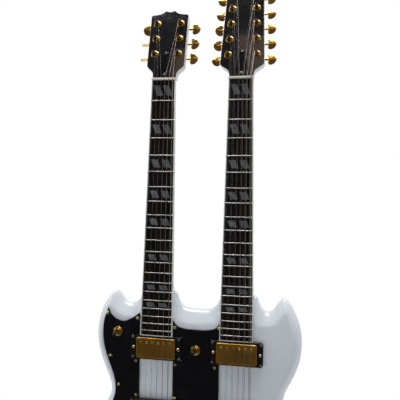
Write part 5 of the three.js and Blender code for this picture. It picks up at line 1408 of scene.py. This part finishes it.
KNOB_INNER = -0.136
KNOB_OUTER = -0.16602
FIRST_KNOB_UP = 0.012
KNOB_ROW = 0.046
KNOB_STAGGER = 0.022
KNOB_PLACES = [(x, BRIDGE_Z + FIRST_KNOB_UP - row * KNOB_ROW - fall)
               for row in (0, 1) for x, fall in ((KNOB_INNER, 0), (KNOB_OUTER, KNOB_STAGGER))]
KNOB_BACK = FACE - 0.0029
RIBS = 60
RIB_DEPTH = 0.00025
KNOB_SKIRT = [  # radius, y over the guard, and whether the ribs run there
    (0.0, 0, 0), (0.0120, 0, 0), (0.0127, -0.0006, 0), (0.0127, -0.0026, 0), (0.0122, -0.0031, 0),
    (0.0112, -0.0036, 1), (0.0088, -0.0140, 1), (0.0086, -0.0152, 0), (0.0080, -0.0158, 0),
    (0.0066, -0.0160, 0), (0.0064, -0.0157, 0), (0.0, -0.0157, 0)]
KNOB_CAP = [(0, -0.0160), (0.0058, -0.0160), (0.0062, -0.0157), (0.0062, -0.0150), (0, -0.0150)]
POINTER = (0.0009, 0.0006, 0.0040, 0.0001)
POINTER_OUT = 0.01085
POINTER_UP = -0.00315

coat("control_plate", plain_steel)
pointer_paint = finish("pointer_paint", tint=(500, (0.55, 0.54, 0.50), (0.68, 0.67, 0.63)), Roughness=0.4)
skirt = [[(p.x, y, p.y) for p in circle(radius, 2 * RIBS, ribbed * RIB_DEPTH)]
         for radius, y, ribbed in KNOB_SKIRT]
for number, (x, z) in enumerate(KNOB_PLACES, 1):
    grip = moved(loft(skirt, ends=False), x, KNOB_BACK, z)
    knob = make(f"knob_{number}_grip", grip, black_plastic, crease=50)
    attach(knob, f"control_knob_{number}")
    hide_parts(f"control_knob_{number}")
    cap = make(f"knob_{number}_cap", moved(turned(KNOB_CAP, 40), x, KNOB_BACK, z), gold)
    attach(cap, f"control_knob_{number}")
    line = moved(block(*POINTER), x, KNOB_BACK + POINTER_UP, z + POINTER_OUT)
    pointer = make(f"knob_{number}_pointer", line, pointer_paint)
    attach(pointer, f"control_knob_{number}")


# Output jack: a socket clamped through a small gold plate by a hexagon nut, the plate
# held to the body's face by four screws.

JACK_Z = BRIDGE_Z - 0.078
JACK_PLATE = (0.034, 0.026, 0.005)
PLATE_FRONT = -0.0019
PLATE_SCREW = (0.0022, 0.0009)
PLATE_SCREW_X, PLATE_SCREW_Z = 0.0135, 0.0095
PLATE_SCREW_TURN = 0.4
JACK_SLEEVE = [
    (0.0033, 0.0150), (0.0033, -0.0036), (0.0036, -0.0041), (0.0045, -0.0041), (0.0048, -0.0038),
    (0.0048, 0.0150), (0.0033, 0.0150)]
SOCKET_END = [(0, 0.0148), (0.0036, 0.0148), (0.0036, 0.0150), (0, 0.0150)]
JACK_NUT_RADIUS = 0.007
JACK_NUT_HOLE = 0.0047
JACK_NUT_FRONT_AND_BACK = (-0.0041, -0.0022)
JACK_WASHER = [(0.0045, -0.0019), (0.0045, -0.0023), (0.0076, -0.0024), (0.0080, -0.0021), (0.0080, -0.0019)]
plate = slab(rounded_rectangle(*JACK_PLATE), PLATE_FRONT, -GAP, COVER_SOFT)
jack_nut = frame_of(circle(JACK_NUT_RADIUS, 6), circle(JACK_NUT_HOLE, 6), *JACK_NUT_FRONT_AND_BACK, NUT_SOFT)
plate_screws = [moved(
    screw_head(*PLATE_SCREW), side * PLATE_SCREW_X, PLATE_FRONT, end * PLATE_SCREW_Z,
    about("Y", side + PLATE_SCREW_TURN * end)) for side in (-1, 1) for end in (-1, 1)]
jack_parts = together(
    plate, turned(JACK_SLEEVE, 36), turned(SOCKET_END), turned(JACK_WASHER, 36), jack_nut, *plate_screws)
jack = make("jack_plate", moved(jack_parts, KNOB_INNER, FACE, JACK_Z), gold)
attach(jack, "instrument")
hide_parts("output_jack")


# Control cavity cover: a plate of black plastic let into a ledge in the back, flush with it,
# held by eight small screws.

CAVITY_MARGIN = 0.0182
CAVITY_LID_THICKNESS = 0.002
CAVITY_LID_BACK = BACK + 0.0001
CAVITY_SCREW = (0.0024, 0.0009)
CAVITY_SCREWS = 8
CAVITY_SCREWS_IN = 0.0042
FIRST_CAVITY_SCREW = 0.25


def band(centres, radius, steps=48):
    """The outline of a band pulled tight round circles of one radius."""
    cloud = sorted({(round(x + p.x, 7), round(z + p.y, 7))
                    for x, z in centres for p in circle(radius, steps)})

    def chain(ordered):
        line = []
        for p in ordered:
            while len(line) > 1:
                (x0, z0), (x1, z1) = line[-2:]
                if (x1 - x0) * (p[1] - z1) - (z1 - z0) * (p[0] - x1) > 0:
                    break
                line.pop()
            line.append(p)
        return line[:-1]

    return [Vector(p) for p in chain(cloud) + chain(cloud[::-1])]


lid_outline = band(KNOB_PLACES + [(KNOB_INNER, JACK_Z)], CAVITY_MARGIN)
cavity_lid = slab(lid_outline, BACK - CAVITY_LID_THICKNESS, CAVITY_LID_BACK, 0, PLATE_SOFT)
cavity_lid = make("cavity_lid", cavity_lid, black_plastic)
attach(cavity_lid, "instrument")
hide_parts("control_cover")
screw_line = inset(lid_outline, CAVITY_SCREWS_IN)
screw_line.append(screw_line[0])
lengths = [0.0]
for last, here in zip(screw_line, screw_line[1:]):
    lengths.append(lengths[-1] + (here - last).length)
heads = []
for number in range(CAVITY_SCREWS):
    wanted = lengths[-1] * (number + FIRST_CAVITY_SCREW) / CAVITY_SCREWS
    k = max(i for i, length in enumerate(lengths) if length <= wanted)
    spot = screw_line[k].lerp(screw_line[k + 1], (wanted - lengths[k]) / (lengths[k + 1] - lengths[k]))
    heads.append(moved(screw_head(*CAVITY_SCREW), spot.x, CAVITY_LID_BACK, spot.y, about("X", math.pi)))
lid_screws = make("cavity_lid_screws", together(*heads), dark_screw)
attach(lid_screws, "instrument")


# Strap buttons: turned brass plated gold, each on a felt washer and held by one long screw,
# at the bottom end and on the back between the necks.

STRAP_BUTTON = [
    (0, 0.004), (0.0020, 0.004), (0.0020, 0), (0.0061, 0), (0.0065, -0.0004), (0.0065, -0.0016),
    (0.0060, -0.0022), (0.0050, -0.0030), (0.0044, -0.0042), (0.0042, -0.0060), (0.0042, -0.0080),
    (0.0046, -0.0092), (0.0058, -0.0102), (0.0070, -0.0107), (0.0075, -0.0113), (0.0075, -0.0123),
    (0.0070, -0.0129), (0.0062, -0.0130), (0.0040, -0.0130), (0.0036, -0.0126), (0, -0.0126)]
FELT_PAD = [
    (0.0020, 0.0003), (0.0074, 0.0003), (0.0075, 0.0), (0.0073, -0.0003), (0.0063, -0.0003), (0.0063, 0.0001),
    (0.0020, 0.0001)]
STRAP_SCREW = (0.0034, 0.0006)
STRAP_SCREW_FRONT = -0.0124
STRAP_BUTTONS = (
    ("end_button", "strap_button_end", (0, 0, 0.013), math.pi / 2),
    ("back_button", "strap_button_back", (0, BACK + GAP, along_body(0.852)), math.pi))

black_felt = finish(
    "black_felt", tint=(700, (0.008, 0.008, 0.008), (0.03, 0.029, 0.028), 6), relief=(1500, 0.5, 0.0003),
    Roughness=0.95)
for name, node, spot, turn in STRAP_BUTTONS:
    place = Matrix.Translation(spot) @ about("X", turn)
    screw = moved(screw_head(*STRAP_SCREW), y=STRAP_SCREW_FRONT)
    knob = make(name, together(turned(STRAP_BUTTON, 40), screw), gold, place)
    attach(knob, "instrument")
    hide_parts(node)
    pad = make(f"{name}_felt", turned(FELT_PAD), black_felt, place)
    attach(pad, "instrument")
